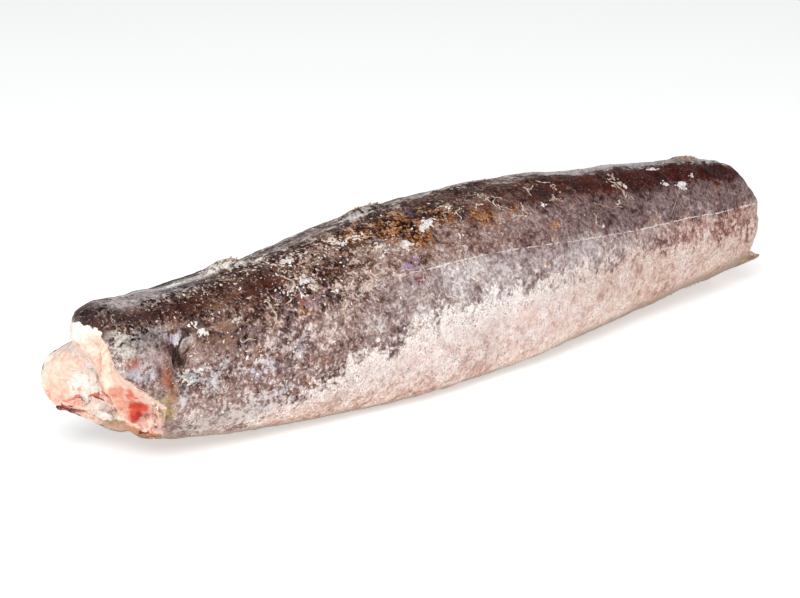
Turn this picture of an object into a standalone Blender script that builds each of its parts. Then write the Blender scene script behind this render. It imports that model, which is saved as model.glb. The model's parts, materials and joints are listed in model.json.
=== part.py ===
"""A frozen, headed and gutted hake with its tail cut off, lying on its belly.

Metres, +Z up. X runs along the back from the head cut (-X) to the tail cut (+X), and Z is 0
on the table. The origin is the middle of the fish's box, on the table.
"""

import math

import bmesh
import bpy
from mathutils import Vector, noise

MM = 0.001

# Stations along the trunk: x, height of the back, half width, height of the belly, and how
# square the belly is (1 is an ellipse, 0.5 is nearly flat with tight corners).
STATIONS = (
    (-155 * MM, 56.5 * MM, 20.0 * MM, 9.0 * MM, 1.00),
    (-116 * MM, 56.0 * MM, 25.5 * MM, 2.5 * MM, 0.80),
    (-78 * MM, 58.5 * MM, 29.5 * MM, -0.5 * MM, 0.66),
    (-39 * MM, 63.5 * MM, 33.0 * MM, -1.2 * MM, 0.56),
    (0 * MM, 65.5 * MM, 33.5 * MM, -1.2 * MM, 0.56),
    (39 * MM, 64.0 * MM, 31.0 * MM, -0.8 * MM, 0.62),
    (78 * MM, 60.0 * MM, 26.0 * MM, 0.8 * MM, 0.82),
    (116 * MM, 56.5 * MM, 22.0 * MM, 3.3 * MM, 0.88),
    (155 * MM, 50.0 * MM, 17.0 * MM, 6.3 * MM, 0.92),
)
HEAD_OVERRUN, TAIL_OVERRUN = 12 * MM, 6 * MM  # how far the curves run past the end stations
WIDEST_SHARE = 0.42  # height of the widest line, as a share of the section's height
BACK_SQUARENESS = 0.95
CENTRE_SHIFT = Vector((-0.8 * MM, 0.0, 0.0))  # puts the middle of the box on the origin

# Mesh density: segments round the body, then rings on the head cut, trunk and tail cut.
SEGMENTS = 60
HEAD_RINGS, TRUNK_RINGS, TAIL_RINGS = 20, 58, 8
MIDLINE_CROWDING = 0.22  # draws segments towards the back's and belly's midlines
END_CROWDING = 0.5  # draws the trunk's rings towards both cuts
HEAD_END_X, TAIL_END_X = -152 * MM, 155 * MM  # where upright rings would start and end
RING_UPRIGHTING = 10  # how fast the rings turn upright away from the slanted cuts

# Head cut: the nape ends in a blunt point, and below it a slanted chop runs back to the throat.
NAPE_TIP_X, NAPE_TIP_Y, NAPE_BLUNTNESS = -161.5 * MM, -1 * MM, 2 * MM
NAPE_NEAR_SLANT, NAPE_FAR_SLANT, NAPE_NEAR_DROP = 0.9, 0.73, 5 * MM
NAPE_ROLL, NAPE_ROLL_DROP = 12 * MM, 3.0 * MM  # how the nape's skin rolls down to the cut
THROAT_CUT_X, THROAT_CUT_SLANT = -149.5 * MM, -0.50
STEP_HALF_WIDTH = 12 * MM
NEAR_STEP = (19 * MM, 42 * MM)  # heights between which the throat's cut meets the nape's
MIDDLE_STEP = (28 * MM, 48 * MM)
FAR_STEP = (33 * MM, 38 * MM)
THROAT_UNDERCUT, UNDERCUT_TOP, UNDERCUT_LOW = 7.5 * MM, 17 * MM, 7 * MM
HEAD_POLE = (0.0, 30 * MM)  # y and z of the middle ring of the head cut

# Relief on the throat's cut: y, z, radius in y, radius in z, and how far it stands out.
THROAT_RELIEF = (
    (14 * MM, 25 * MM, 8.5 * MM, 9.5 * MM, 5.5 * MM),  # far shoulder lobe
    (3 * MM, 28 * MM, 6.0 * MM, 9.0 * MM, -3.0 * MM),  # mouth of the belly cavity
    (-9.5 * MM, 31 * MM, 5.5 * MM, 12 * MM, 11 * MM),  # front edge of the near flank
    (-13 * MM, 16 * MM, 4.5 * MM, 4.5 * MM, 2.5 * MM),  # clotted throat muscle
    (2 * MM, 13 * MM, 12 * MM, 2.6 * MM, -2.5 * MM),  # fold above the belly flap
)
LOBE_SHARPNESS = 1.4  # above 1 the bumps get flatter tops and steeper sides
CUT_SMOOTHING = 3  # passes that soften the steep walls of the head cut
RIM_FADE = 6  # how near the skin a cut face starts to follow the rim

# Tail cut, with the backbone standing a little proud of the muscle.
TAIL_CUT_X, TAIL_CUT_SLANT, TAIL_CUT_BULGE = 158.5 * MM, 0.10, 19.0  # bulge in 1/m
BONE_RISE, BONE_RADIUS, BONE_SHARE = 1.2 * MM, 4.2 * MM, 0.56
SEPTUM_DEPTH, SEPTUM_WIDTH, SEPTUM_START = 0.8 * MM, 1.6 * MM, 6.7 * MM
EDGE_STEPS = 6  # steps that bring a cut and the skin together
EDGE_ROUNDING = 2.2 * MM
EDGE_DROP = 0.35  # how far the skin sinks at a cut, as a share of the rounding's length

# Stubs of the trimmed fins on the back: middle x, half length and height.
BACK_FIN_STUBS = (
    (-98 * MM, 7 * MM, 2.6 * MM),
    (-34 * MM, 9 * MM, 2.2 * MM),
    (22 * MM, 26 * MM, 1.0 * MM),
    (94 * MM, 22 * MM, 0.9 * MM),
    (133 * MM, 7 * MM, 1.7 * MM),
)
FIRST_FIN_SCAR = (-116 * MM, 12 * MM, 1.1 * MM)  # middle x, half length and depth
BACK_FIN_Y = 4.5 * MM  # the fish is rolled a little, so the back's midline leans away
FIN_RIDGE_WIDTH, FIN_SCAR_WIDTH = 3.2 * MM, 6.4 * MM

# The anal fin's stub under the tail, with a scrap that reaches past the tail cut.
BELLY_FIN_START, BELLY_FIN_END, BELLY_FIN_DROP = 62 * MM, 150 * MM, 0.5 * MM
BELLY_FIN_Y = -10.5 * MM  # the same roll brings the belly's midline into view
BELLY_SCRAP_REACH, BELLY_SCRAP_RISE, BELLY_SCRAP_SHARE = 16.5 * MM, 1.2 * MM, 0.06

# The slit that gutted the belly, frozen nearly shut.
GUT_SLIT_START, GUT_SLIT_END, GUT_SLIT_TAPER = -150 * MM, -48 * MM, 12 * MM
GUT_SLIT_DEPTH, GUT_SLIT_WIDTH = 2.2 * MM, 3.2 * MM

# The shoulder: a crease behind the collar bone, and the socket of the pectoral fin in it.
COLLAR_TOP, COLLAR_BOTTOM = (-129 * MM, 51 * MM), (-133 * MM, 25 * MM)
COLLAR_DEPTH, COLLAR_WIDTH = 1.4 * MM, 4.2 * MM
FIN_SOCKET, FIN_SOCKET_SIZE = (-131.5 * MM, 40 * MM), (4.6 * MM, 7.0 * MM)
FIN_SOCKET_DEPTH = 2.8 * MM
FLANK_BAND = (0.45, 0.8)  # the shoulder's relief fades in between these shares of the width

# Unevenness left by freezing: size of the lumps and how high they stand.
SKIN_LUMPS = ((26 * MM, 0.9 * MM), (9 * MM, 0.35 * MM))
FLESH_LUMPS = ((11 * MM, 1.3 * MM), (4.5 * MM, 0.5 * MM))
FLESH_LUMP_STRETCH = 1.3  # the cut muscle's lumps are taller than they are wide


def smoothstep(low, high, value):
    """0 below low and 1 above high, with a smooth ramp between them."""
    share = min(max((value - low) / (high - low), 0.0), 1.0)
    return share * share * (3 - 2 * share)


def bump(distance, sharpness=1.0):
    """1 at the middle of a lump, falling smoothly to 0 a little past a distance of 1."""
    return math.exp(-((distance * distance) ** sharpness))


def section_at(x):
    """Back height, half width, belly height and squareness, on a Catmull-Rom curve."""
    x = min(max(x, STATIONS[0][0] - HEAD_OVERRUN), STATIONS[-1][0] + TAIL_OVERRUN)
    last = len(STATIONS) - 2
    i = max(0, min(last, sum(1 for station in STATIONS[1:-1] if station[0] <= x)))
    before, left, right, after = (
        STATIONS[max(i - 1, 0)],
        STATIONS[i],
        STATIONS[i + 1],
        STATIONS[min(i + 2, last + 1)],
    )
    share = (x - left[0]) / (right[0] - left[0])
    values = []
    for k in range(1, 5):
        slope_left = (right[k] - before[k]) / (right[0] - before[0])
        slope_right = (after[k] - left[k]) / (after[0] - left[0])
        step = right[0] - left[0]
        values.append(
            left[k] * (1 + 2 * share) * (1 - share) ** 2
            + slope_left * step * share * (1 - share) ** 2
            + right[k] * share**2 * (3 - 2 * share)
            + slope_right * step * share**2 * (share - 1)
        )
    return values


def outline(x, angle):
    """y and z of the skin at x. The angle is 90 degrees on the back and 270 on the belly."""
    back, half_width, belly, squareness = section_at(x)
    widest = section_middle(x)
    across, up = math.cos(angle), math.sin(angle)
    power = BACK_SQUARENESS if up > 0 else squareness
    y = math.copysign(abs(across) ** power, across) * half_width
    reach = back - widest if up > 0 else widest - belly
    return y, widest + math.copysign(abs(up) ** power, up) * reach


def section_middle(x):
    """Height of the widest line at x."""
    back, _, belly, _ = section_at(x)
    return belly + (back - belly) * WIDEST_SHARE


def nape_cut_x(y):
    """The front of the nape over y: a blunt point that falls back to both flanks."""
    reach = math.hypot(y - NAPE_TIP_Y, NAPE_BLUNTNESS) - NAPE_BLUNTNESS
    if y < NAPE_TIP_Y:
        return NAPE_TIP_X + min(NAPE_NEAR_SLANT * reach, NAPE_NEAR_DROP)
    return NAPE_TIP_X + NAPE_FAR_SLANT * reach


def head_cut_x(y, z):
    """The head cut as one surface: x over y and z, with its lobe, hollow and folds."""
    throat = THROAT_CUT_X + THROAT_CUT_SLANT * y
    throat += THROAT_UNDERCUT * (1 - smoothstep(UNDERCUT_LOW, UNDERCUT_TOP, z))
    for middle_y, middle_z, radius_y, radius_z, height in THROAT_RELIEF:
        distance = math.hypot((y - middle_y) / radius_y, (z - middle_z) / radius_z)
        throat -= height * bump(distance, LOBE_SHARPNESS)
    side = FAR_STEP if y > 0 else NEAR_STEP
    aside = smoothstep(0.0, STEP_HALF_WIDTH, abs(y))
    step = [middle + (end - middle) * aside for middle, end in zip(MIDDLE_STEP, side)]
    return throat + (nape_cut_x(y) - throat) * smoothstep(*step, z)


def tail_cut_x(y, z):
    """The tail cut: bulging, with the backbone proud and the septa between the muscles sunk."""
    back, _, belly, _ = section_at(TAIL_CUT_X)
    bone_z = belly + (back - belly) * BONE_SHARE
    x = TAIL_CUT_X + TAIL_CUT_SLANT * y - TAIL_CUT_BULGE * (z - bone_z) ** 2
    off_bone = math.hypot(y, z - bone_z)
    x += BONE_RISE * bump(off_bone / BONE_RADIUS, 3)
    away = smoothstep(BONE_RADIUS, SEPTUM_START, off_bone)
    for across in (y, z - bone_z):
        x -= SEPTUM_DEPTH * away * bump(across / SEPTUM_WIDTH)
    return x


def edge_point(cut_x, angle):
    """Where a cut meets the skin: the outline and the cut are brought together in a few steps."""
    x = cut_x(0.0, HEAD_POLE[1])
    for _ in range(EDGE_STEPS):
        y, z = outline(x, angle)
        x = cut_x(y, z)
    return x, y, z


def lumps(point, sizes):
    """Height of the unevenness at a point, from smooth seedless noise."""
    return sum(height * noise.noise(point / size) for size, height in sizes)


def near_line(x, z, top, bottom, width):
    """1 on the line between two points on the flank, falling to 0 beside and beyond it."""
    share = (z - bottom[1]) / (top[1] - bottom[1])
    line_x = bottom[0] + (top[0] - bottom[0]) * share
    inside = smoothstep(-0.1, 0.15, share) * (1 - smoothstep(0.85, 1.1, share))
    return bump((x - line_x) / width) * inside


def skin_relief(x, y, z, angle):
    """How far the skin stands out from the smooth trunk: fins, collar, slit and freezing."""
    half_width = section_at(x)[1]
    relief = 0.0
    if math.sin(angle) > 0:
        for middle, half_length, height in BACK_FIN_STUBS:
            along = bump((x - middle) / half_length, 2)
            relief += height * along * bump((y - BACK_FIN_Y) / FIN_RIDGE_WIDTH)
        middle, half_length, depth = FIRST_FIN_SCAR
        along = bump((x - middle) / half_length, 2)
        relief -= depth * along * bump((y - BACK_FIN_Y) / FIN_SCAR_WIDTH)
    else:
        under_tail = smoothstep(BELLY_FIN_START, BELLY_FIN_END, x)
        relief += BELLY_FIN_DROP * bump((y - BELLY_FIN_Y) / FIN_RIDGE_WIDTH) * under_tail
        slit = smoothstep(GUT_SLIT_START, GUT_SLIT_START + GUT_SLIT_TAPER, x)
        slit *= 1 - smoothstep(GUT_SLIT_END - GUT_SLIT_TAPER, GUT_SLIT_END, x)
        relief -= GUT_SLIT_DEPTH * bump(y / GUT_SLIT_WIDTH) * slit
    on_flank = smoothstep(*FLANK_BAND, abs(y) / half_width)
    relief -= COLLAR_DEPTH * on_flank * near_line(x, z, COLLAR_TOP, COLLAR_BOTTOM, COLLAR_WIDTH)
    socket = math.hypot(
        (x - FIN_SOCKET[0]) / FIN_SOCKET_SIZE[0], (z - FIN_SOCKET[1]) / FIN_SOCKET_SIZE[1]
    )
    relief -= FIN_SOCKET_DEPTH * on_flank * bump(socket, 2)
    return relief + lumps(Vector((x, y, z)), SKIN_LUMPS)


def trunk_point(share, angle):
    """A point on the skin, share 0 at the head cut's edge and 1 at the tail cut's."""
    head_x = edge_point(head_cut_x, angle)[0]
    tail_x = edge_point(tail_cut_x, angle)[0]
    x = HEAD_END_X + (TAIL_END_X - HEAD_END_X) * share
    x += (head_x - HEAD_END_X) * (1 - share) ** RING_UPRIGHTING
    x += (tail_x - TAIL_END_X) * share**RING_UPRIGHTING
    y, z = outline(x, angle)
    outward = Vector((0, y, z - section_middle(x))).normalized()
    depth = skin_relief(x, y, z, angle)
    for end in (x - head_x, tail_x - x):
        if end < EDGE_ROUNDING:
            drop = 1 - math.sqrt(max(0.0, 1 - (1 - end / EDGE_ROUNDING) ** 2))
            depth -= EDGE_ROUNDING * EDGE_DROP * drop
    roll = max(0.0, 1 - (x - head_x) / NAPE_ROLL)
    depth -= NAPE_ROLL_DROP * max(0.0, math.sin(angle)) ** 2 * roll**2
    point = Vector((x, y, z)) + outward * depth
    under = bump((y - BELLY_FIN_Y) / FIN_RIDGE_WIDTH) if math.sin(angle) < 0 else 0.0
    scrap = under * smoothstep(1 - BELLY_SCRAP_SHARE, 1, share)
    point += scrap * Vector((BELLY_SCRAP_REACH, 0, BELLY_SCRAP_RISE))
    point.z = max(point.z, 0.0)  # the belly froze flat on the tray
    return point


def cut_point(cut_x, pole, edge, share, angle, lump_sizes, facing):
    """A point on a cut face: share 0 in its middle and 1 at the skin."""
    rim = trunk_point(edge, angle)
    y = pole[0] + (rim.y - pole[0]) * share
    z = pole[1] + (rim.z - pole[1]) * share
    x = cut_x(y, z) + (rim.x - cut_x(rim.y, rim.z)) * share**RIM_FADE
    x += facing * (1 - share**RIM_FADE) * lumps(Vector((x, y * FLESH_LUMP_STRETCH, z)), lump_sizes)
    return Vector((x, y, z))


def body_point(ring, angle):
    """The fish's surface, ring by ring from the middle of the head cut to that of the tail cut."""
    if ring <= HEAD_RINGS:
        share = ring / HEAD_RINGS
        return cut_point(head_cut_x, HEAD_POLE, 0.0, share, angle, FLESH_LUMPS, -1)
    ring -= HEAD_RINGS
    if ring <= TRUNK_RINGS:
        share = ring / TRUNK_RINGS
        share -= END_CROWDING * math.sin(2 * math.pi * share) / (2 * math.pi)
        return trunk_point(share, angle)
    share = 1 - (ring - TRUNK_RINGS) / TAIL_RINGS
    back, _, belly, _ = section_at(TAIL_CUT_X)
    pole = (0.0, belly + (back - belly) * BONE_SHARE)
    return cut_point(tail_cut_x, pole, 1.0, share, angle, FLESH_LUMPS[1:], 1)


def make_hake():
    """A sphere whose rings are drawn out along the fish, so that it is one closed skin."""
    rings = HEAD_RINGS + TRUNK_RINGS + TAIL_RINGS
    mesh = bpy.data.meshes.new("hake")
    shape = bmesh.new()
    bmesh.ops.create_uvsphere(shape, u_segments=SEGMENTS, v_segments=rings, radius=1.0)
    head_face = []
    for vertex in shape.verts:
        ring = round(math.acos(max(-1.0, min(1.0, vertex.co.z))) / math.pi * rings)
        turn = math.atan2(vertex.co.y, vertex.co.x) % (2 * math.pi)
        angle = turn + MIDLINE_CROWDING * math.sin(2 * turn)
        vertex.co = body_point(ring, angle) + CENTRE_SHIFT
        if ring < HEAD_RINGS:
            head_face.append(vertex)
    for _ in range(CUT_SMOOTHING):
        bmesh.ops.smooth_vert(
            shape, verts=head_face, factor=0.5, use_axis_x=True, use_axis_y=True, use_axis_z=True
        )
    bmesh.ops.recalc_face_normals(shape, faces=shape.faces)
    shape.to_mesh(mesh)
    shape.free()
    mesh.shade_smooth()
    return bpy.data.objects.new("hake", mesh)


def skin_material():
    """Wet brown skin under a thin glaze of ice."""
    material = bpy.data.materials.new("frozen_hake_skin")
    material.use_nodes = True
    shader = material.node_tree.nodes["Principled BSDF"]
    shader.inputs["Base Color"].default_value = (0.30, 0.23, 0.21, 1.0)
    shader.inputs["Roughness"].default_value = 0.45
    shader.inputs["Metallic"].default_value = 0.0
    return material


def main():
    """Clear the scene and put the fish in a collection of its own."""
    for old in list(bpy.data.objects):
        bpy.data.objects.remove(old, do_unlink=True)
    collection = bpy.data.collections.new("frozen_hake")
    bpy.context.scene.collection.children.link(collection)
    hake = make_hake()
    hake.data.materials.append(skin_material())
    collection.objects.link(hake)


main()
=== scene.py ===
# Looks of a frozen hake, headed and gutted, with its tail cut off.
# Lengths in the dictionaries are millimetres and angles are degrees, unless a note says otherwise.
import json
import math
import random

import bmesh
import bpy
import numpy as np
from mathutils import Matrix, Vector, noise
from mathutils.bvhtree import BVHTree

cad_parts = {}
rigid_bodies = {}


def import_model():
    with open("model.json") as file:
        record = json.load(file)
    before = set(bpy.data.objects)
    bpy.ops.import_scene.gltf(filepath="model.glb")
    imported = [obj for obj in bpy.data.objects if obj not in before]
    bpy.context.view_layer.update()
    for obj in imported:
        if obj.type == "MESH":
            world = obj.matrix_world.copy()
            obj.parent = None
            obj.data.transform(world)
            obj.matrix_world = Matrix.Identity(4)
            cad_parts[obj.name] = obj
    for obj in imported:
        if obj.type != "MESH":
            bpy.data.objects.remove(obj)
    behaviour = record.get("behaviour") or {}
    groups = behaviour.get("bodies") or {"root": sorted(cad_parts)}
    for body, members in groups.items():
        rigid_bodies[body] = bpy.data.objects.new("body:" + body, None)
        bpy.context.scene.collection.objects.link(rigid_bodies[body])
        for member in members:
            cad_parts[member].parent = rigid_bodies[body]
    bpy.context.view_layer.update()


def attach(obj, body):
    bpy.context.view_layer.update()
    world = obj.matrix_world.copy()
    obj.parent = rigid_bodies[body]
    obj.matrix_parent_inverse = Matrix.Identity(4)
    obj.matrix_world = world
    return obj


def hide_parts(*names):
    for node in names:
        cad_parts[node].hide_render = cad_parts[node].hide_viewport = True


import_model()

mm = 0.001
scene = bpy.context.scene


def smoothstep(low, high, value):
    share = min(max((value - low) / (high - low), 0.0), 1.0)
    return share * share * (3 - 2 * share)


def bump(distance, sharpness=1.0):
    return math.exp(-((distance * distance) ** sharpness))


def linearColour(hexCode):
    # sRGB hex to the linear values that the shaders use
    parts = [int(hexCode[i:i + 2], 16) / 255 for i in (1, 3, 5)]
    return [p / 12.92 if p <= 0.04045 else ((p + 0.055) / 1.055) ** 2.4 for p in parts] + [1.0]


def tintOf(hexCode):
    # the same without its alpha, to mix tints with
    return np.array(linearColour(hexCode)[:3])


def lumps(point, sizes):
    return sum(height * noise.noise(point / size) for size, height in sizes)


# The nodes that the materials use: Blender's type, the inputs that values fill in turn, the output
# that is read and the settings.
nodeKinds = {
    "add": ("Math", (0, 1), 0, {"operation": "ADD"}),
    "subtract": ("Math", (0, 1), 0, {"operation": "SUBTRACT"}),
    "multiply": ("Math", (0, 1), 0, {"operation": "MULTIPLY"}),
    "multiplyAdd": ("Math", (0, 1, 2), 0, {"operation": "MULTIPLY_ADD"}),
    "maximum": ("Math", (0, 1), 0, {"operation": "MAXIMUM"}),
    "absolute": ("Math", (0,), 0, {"operation": "ABSOLUTE"}),
    "move": ("VectorMath", (0, 1), 0, {"operation": "ADD"}),
    "scale": ("VectorMath", (0, "Scale"), 0, {"operation": "SCALE"}),
    "straight": ("MapRange", (0, 1, 2, 3, 4), 0, {}),
    "ease": ("MapRange", (0, 1, 2, 3, 4), 0, {"interpolation_type": "SMOOTHSTEP"}),
    "mix": ("Mix", (0, 6, 7), 2, {"data_type": "RGBA"}),
    "ramp": ("ValToRGB", (0,), 0, {}),
    "noise": ("TexNoise", ("Vector", "Scale", "Detail", "Roughness"), 0, {}),
    "colourNoise": ("TexNoise", ("Vector", "Scale", "Detail"), 1, {}),
    "cells": ("TexVoronoi", ("Vector", "Scale"), "Color", {}),
    "cellEdge": (
        "TexVoronoi", ("Vector", "Scale", "Randomness"), 0, {"feature": "DISTANCE_TO_EDGE"},
    ),
    "mapping": ("Mapping", ("Vector", "Scale", "Rotation"), 0, {}),
    "coordinates": ("TexCoord", (), "Object", {}),
    "uvMap": ("UVMap", (), 0, {}),
    "attribute": ("Attribute", (), "Fac", {}),
    "splitPlace": ("SeparateXYZ", (0,), 0, {}),
    "splitColour": ("SeparateColor", (0,), 0, {}),
    "bump": ("Bump", ("Height", "Distance", "Strength"), 0, {}),
}


def feed(node, values):
    # fills inputs with numbers, hex colours or links from other nodes' outputs
    for place, value in values.items():
        if isinstance(value, bpy.types.NodeSocket):
            node.id_data.links.new(value, node.inputs[place])
        elif isinstance(value, str):
            node.inputs[place].default_value = linearColour(value)
        else:
            node.inputs[place].default_value = value


def addNode(tree, kind, *values, output=None, stops=(), **settings):
    # one node with its settings and links; returns the output that is read
    nodeType, inputs, usualOutput, usualSettings = nodeKinds[kind]
    node = tree.nodes.new("ShaderNode" + nodeType)
    for name, value in (usualSettings | settings).items():
        setattr(node, name, value)
    feed(node, dict(zip(inputs, values)))
    if stops:
        elements = node.color_ramp.elements
        while len(elements) < len(stops):
            elements.new(0.5)
        for element, (place, colour) in zip(elements, stops):
            element.position = place
            grey = not isinstance(colour, str)
            element.color = (colour,) * 3 + (1.0,) if grey else linearColour(colour)
    return node.outputs[usualOutput if output is None else output]


def newMaterial(name):
    material = bpy.data.materials.new(name)
    material.use_nodes = True
    return material, material.node_tree, material.node_tree.nodes["Principled BSDF"]


def addObject(name, shape, material):
    mesh = bpy.data.meshes.new(name)
    shape.to_mesh(mesh)
    shape.free()
    mesh.materials.append(material)
    thing = bpy.data.objects.new(name, mesh)
    scene.collection.objects.link(thing)
    return thing


def finishPiece(name, shape, material, smooth=True):
    # turns a bmesh in millimetres into a piece that belongs to the fish
    bmesh.ops.recalc_face_normals(shape, faces=shape.faces)
    bmesh.ops.scale(shape, vec=(mm, mm, mm), verts=shape.verts)
    piece = addObject(name, shape, material)
    if smooth:
        piece.data.shade_smooth()
    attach(piece, "root")
    return piece


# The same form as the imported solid, with a mesh fine enough for wrinkles and chipped edges.
hakeForm = {
    # x, height of the back, half width, height of the belly, squareness of the belly
    "stations": (
        (-155, 56.5, 20.0, 9.0, 1.00),
        (-116, 56.0, 25.5, 2.5, 0.80),
        (-78, 58.5, 29.5, -0.5, 0.66),
        (-39, 63.5, 33.0, -1.2, 0.56),
        (0, 65.5, 33.5, -1.2, 0.56),
        (39, 64.0, 31.0, -0.8, 0.62),
        (78, 60.0, 26.0, 0.8, 0.82),
        (116, 56.5, 22.0, 3.3, 0.88),
        (155, 50.0, 17.0, 6.3, 0.92),
    ),
    "reach": (-167.0, 161.0),  # how far the curves run
    "widestShare": 0.42,  # of the height
    "backSquareness": 0.95,
    "shift": Vector((-0.8, 0.0, 0.0)),
    "segments": 300,
    "rings": {"head": 88, "trunk": 202, "tail": 38},
    "midlineCrowding": 0.22,  # closer segments at the back and the belly
    "endCrowding": 0.5,  # closer rings at both cuts
    "uprightEnds": (-152.0, 155.0),  # between these the rings stand upright
    "uprighting": 10,  # how soon they do, away from a slanting cut
    "rimFade": 6,  # how close to the skin a cut face follows its edge
    "edgeRounding": 2.2,
    "edgeDrop": 0.35,
    "flatBelow": 0.3,  # the belly that froze on the tray has no relief
}

headCut = {
    "napeTip": (-161.5, -1.0),  # x and y
    "napeBluntness": 2.0,
    "nearSlant": 0.9,
    "farSlant": 0.73,
    "nearDrop": 5.0,
    "roll": (12.0, 3.0),  # how far back the nape's skin rolls over, and how deep
    "throatX": -149.5,
    "throatSlant": -0.50,
    "stepHalfWidth": 12.0,
    # heights between which the cut steps forward from the throat to the nape
    "steps": {"near": (19.0, 42.0), "middle": (28.0, 48.0), "far": (34.8, 39.6)},
    "undercut": (7.5, 17.0, 7.0),  # depth, top and bottom
    "pole": (0.0, 30.0),  # y and z of the middle of the rings
    # y, z, radius in y, radius in z, and how far it stands out
    "relief": (
        (14.5, 26.5, 8.5, 10.5, 5.5),  # far shoulder lobe
        (3, 28, 6.0, 9.0, -3.0),  # mouth of the belly cavity
        (-9.5, 31, 5.5, 12, 11),  # front edge of the near flank
        (-13, 16, 4.5, 4.5, 2.5),  # clotted throat muscle
        (2, 13, 12, 2.6, -2.5),  # fold above the belly flap
    ),
    "smoothing": 40,
    # the same five numbers for the small forms
    "detail": (
        (-11, 38, 1.6, 10, 1.6),  # crest of the near flank's front edge
        (-13.6, 21, 3.2, 3.6, -1.8),  # hollow of the clot
        (-16.2, 16.5, 3.0, 3.0, 1.3),
        (5, 27, 3.2, 6, 1.0),  # membrane
        (1, 17, 5, 2.6, 1.2),  # belly flap
        (1, 13.2, 6, 0.9, -1.1),
        (-5, 24, 2.2, 5, -1.6),
        (20.5, 27, 1.0, 11, 0.8),  # icy rim of the lobe
        (-3, 44.5, 8, 1.3, -0.9),
    ),
    "folds": ((5.0, 0.5), (2.2, 0.16)),  # size and height
}

tailCut = {
    "x": 158.5,
    "slant": 0.10,
    "bulge": 0.019,
    "bone": (1.2, 4.2, 0.56),  # rise, radius and share of the height
    "septum": (0.8, 1.6, 6.7),  # depth, width and start of the walls between the muscles
    "nicks": ((6.5, 1.5), (2.4, 0.7)),  # size and depth of the nicks in the sawn edge
    "leaves": 3.1,  # width of a leaf of muscle
    "leafDepth": 0.45,
    "saw": (2.2, 0.12),  # distance and depth of the marks of the saw
}

skinForm = {
    # x, half length and height
    "backFinStubs": ((-96, 6, 2.6), (-34, 9, 2.2), (22, 26, 0.8), (94, 22, 0.3), (133, 7, 1.7)),
    "finScar": (-116, 12, 1.1),  # x, half length and depth
    "backFinY": 4.5,
    "finWidths": (3.2, 6.4),  # of the stubs and of the scar
    "bellyFin": (62, 150, 0.5, -10.5),  # start, end, height and y
    "bellyScrap": (16.5, 1.2, 0.06),  # how far it sticks out and rises, and its share of the trunk
    "slit": (-150, -48, 12, 2.2, 3.2),  # start, end, taper, depth and width
    "collar": ((-129, 51), (-133, 25), 1.4, 4.2),  # x and z of its top and its foot, depth and width
    "finSocket": ((-131.5, 40), (4.6, 7.0), 2.8),  # x and z, reach along both, and depth
    "flankBand": (0.45, 0.8),  # shares of the half width where those two fade in
    # size and height
    "lumps": ((26, 0.9), (9, 0.35)),
    "wrinkles": ((4.2, 0.26), (1.9, 0.16)),  # freezer-dried wrinkles
}

fleshForm = {
    "lumps": ((11, 1.3), (4.5, 0.5)),  # size and height
    "stretch": 1.3,  # lumps are that much narrower than high
    "fibres": ((2.6, 0.35), (1.3, 0.16)),
}


def sectionCurve(x):
    # back height, half width, belly height and squareness on a Catmull-Rom curve
    stations = hakeForm["stations"]
    last = len(stations) - 2
    i = max(0, min(last, sum(1 for station in stations[1:-1] if station[0] <= x)))
    before, left, right, after = (
        stations[max(i - 1, 0)], stations[i], stations[i + 1], stations[min(i + 2, last + 1)],
    )
    step = right[0] - left[0]
    share = (x - left[0]) / step
    values = []
    for k in range(1, 5):
        slopeLeft = (right[k] - before[k]) / (right[0] - before[0])
        slopeRight = (after[k] - left[k]) / (after[0] - left[0])
        values.append(
            left[k] * (1 + 2 * share) * (1 - share) ** 2
            + slopeLeft * step * share * (1 - share) ** 2
            + right[k] * share**2 * (3 - 2 * share)
            + slopeRight * step * share**2 * (share - 1)
        )
    return values


sectionStep = 0.25
sectionTable = [
    sectionCurve(x) for x in np.arange(hakeForm["reach"][0], hakeForm["reach"][1] + 0.3, sectionStep)
]


def sectionAt(x):
    place = min(max(x, hakeForm["reach"][0]), hakeForm["reach"][1]) - hakeForm["reach"][0]
    row, share = divmod(place / sectionStep, 1.0)
    left, right = sectionTable[int(row)], sectionTable[min(int(row) + 1, len(sectionTable) - 1)]
    return [a + (b - a) * share for a, b in zip(left, right)]


def outline(x, angle):
    # y and z of the skin: 90 degrees is the back and 270 the belly
    back, halfWidth, belly, squareness = sectionAt(x)
    middle = belly + (back - belly) * hakeForm["widestShare"]
    across, up = math.cos(angle), math.sin(angle)
    power = hakeForm["backSquareness"] if up > 0 else squareness
    y = math.copysign(abs(across) ** power, across) * halfWidth
    reach = back - middle if up > 0 else middle - belly
    return y, middle + math.copysign(abs(up) ** power, up) * reach, middle, halfWidth


def napeX(y):
    tipX, tipY = headCut["napeTip"]
    reach = math.hypot(y - tipY, headCut["napeBluntness"]) - headCut["napeBluntness"]
    if y < tipY:
        return tipX + min(headCut["nearSlant"] * reach, headCut["nearDrop"])
    return tipX + headCut["farSlant"] * reach


def headX(y, z):
    depth, top, low = headCut["undercut"]
    throat = headCut["throatX"] + headCut["throatSlant"] * y
    throat += depth * (1 - smoothstep(low, top, z))
    for middleY, middleZ, radiusY, radiusZ, height in headCut["relief"]:
        distance = math.hypot((y - middleY) / radiusY, (z - middleZ) / radiusZ)
        throat -= height * bump(distance, 1.4)
    steps = headCut["steps"]
    side = steps["far"] if y > 0 else steps["near"]
    aside = smoothstep(0.0, headCut["stepHalfWidth"], abs(y))
    step = [middle + (end - middle) * aside for middle, end in zip(steps["middle"], side)]
    return throat + (napeX(y) - throat) * smoothstep(*step, z)


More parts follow.
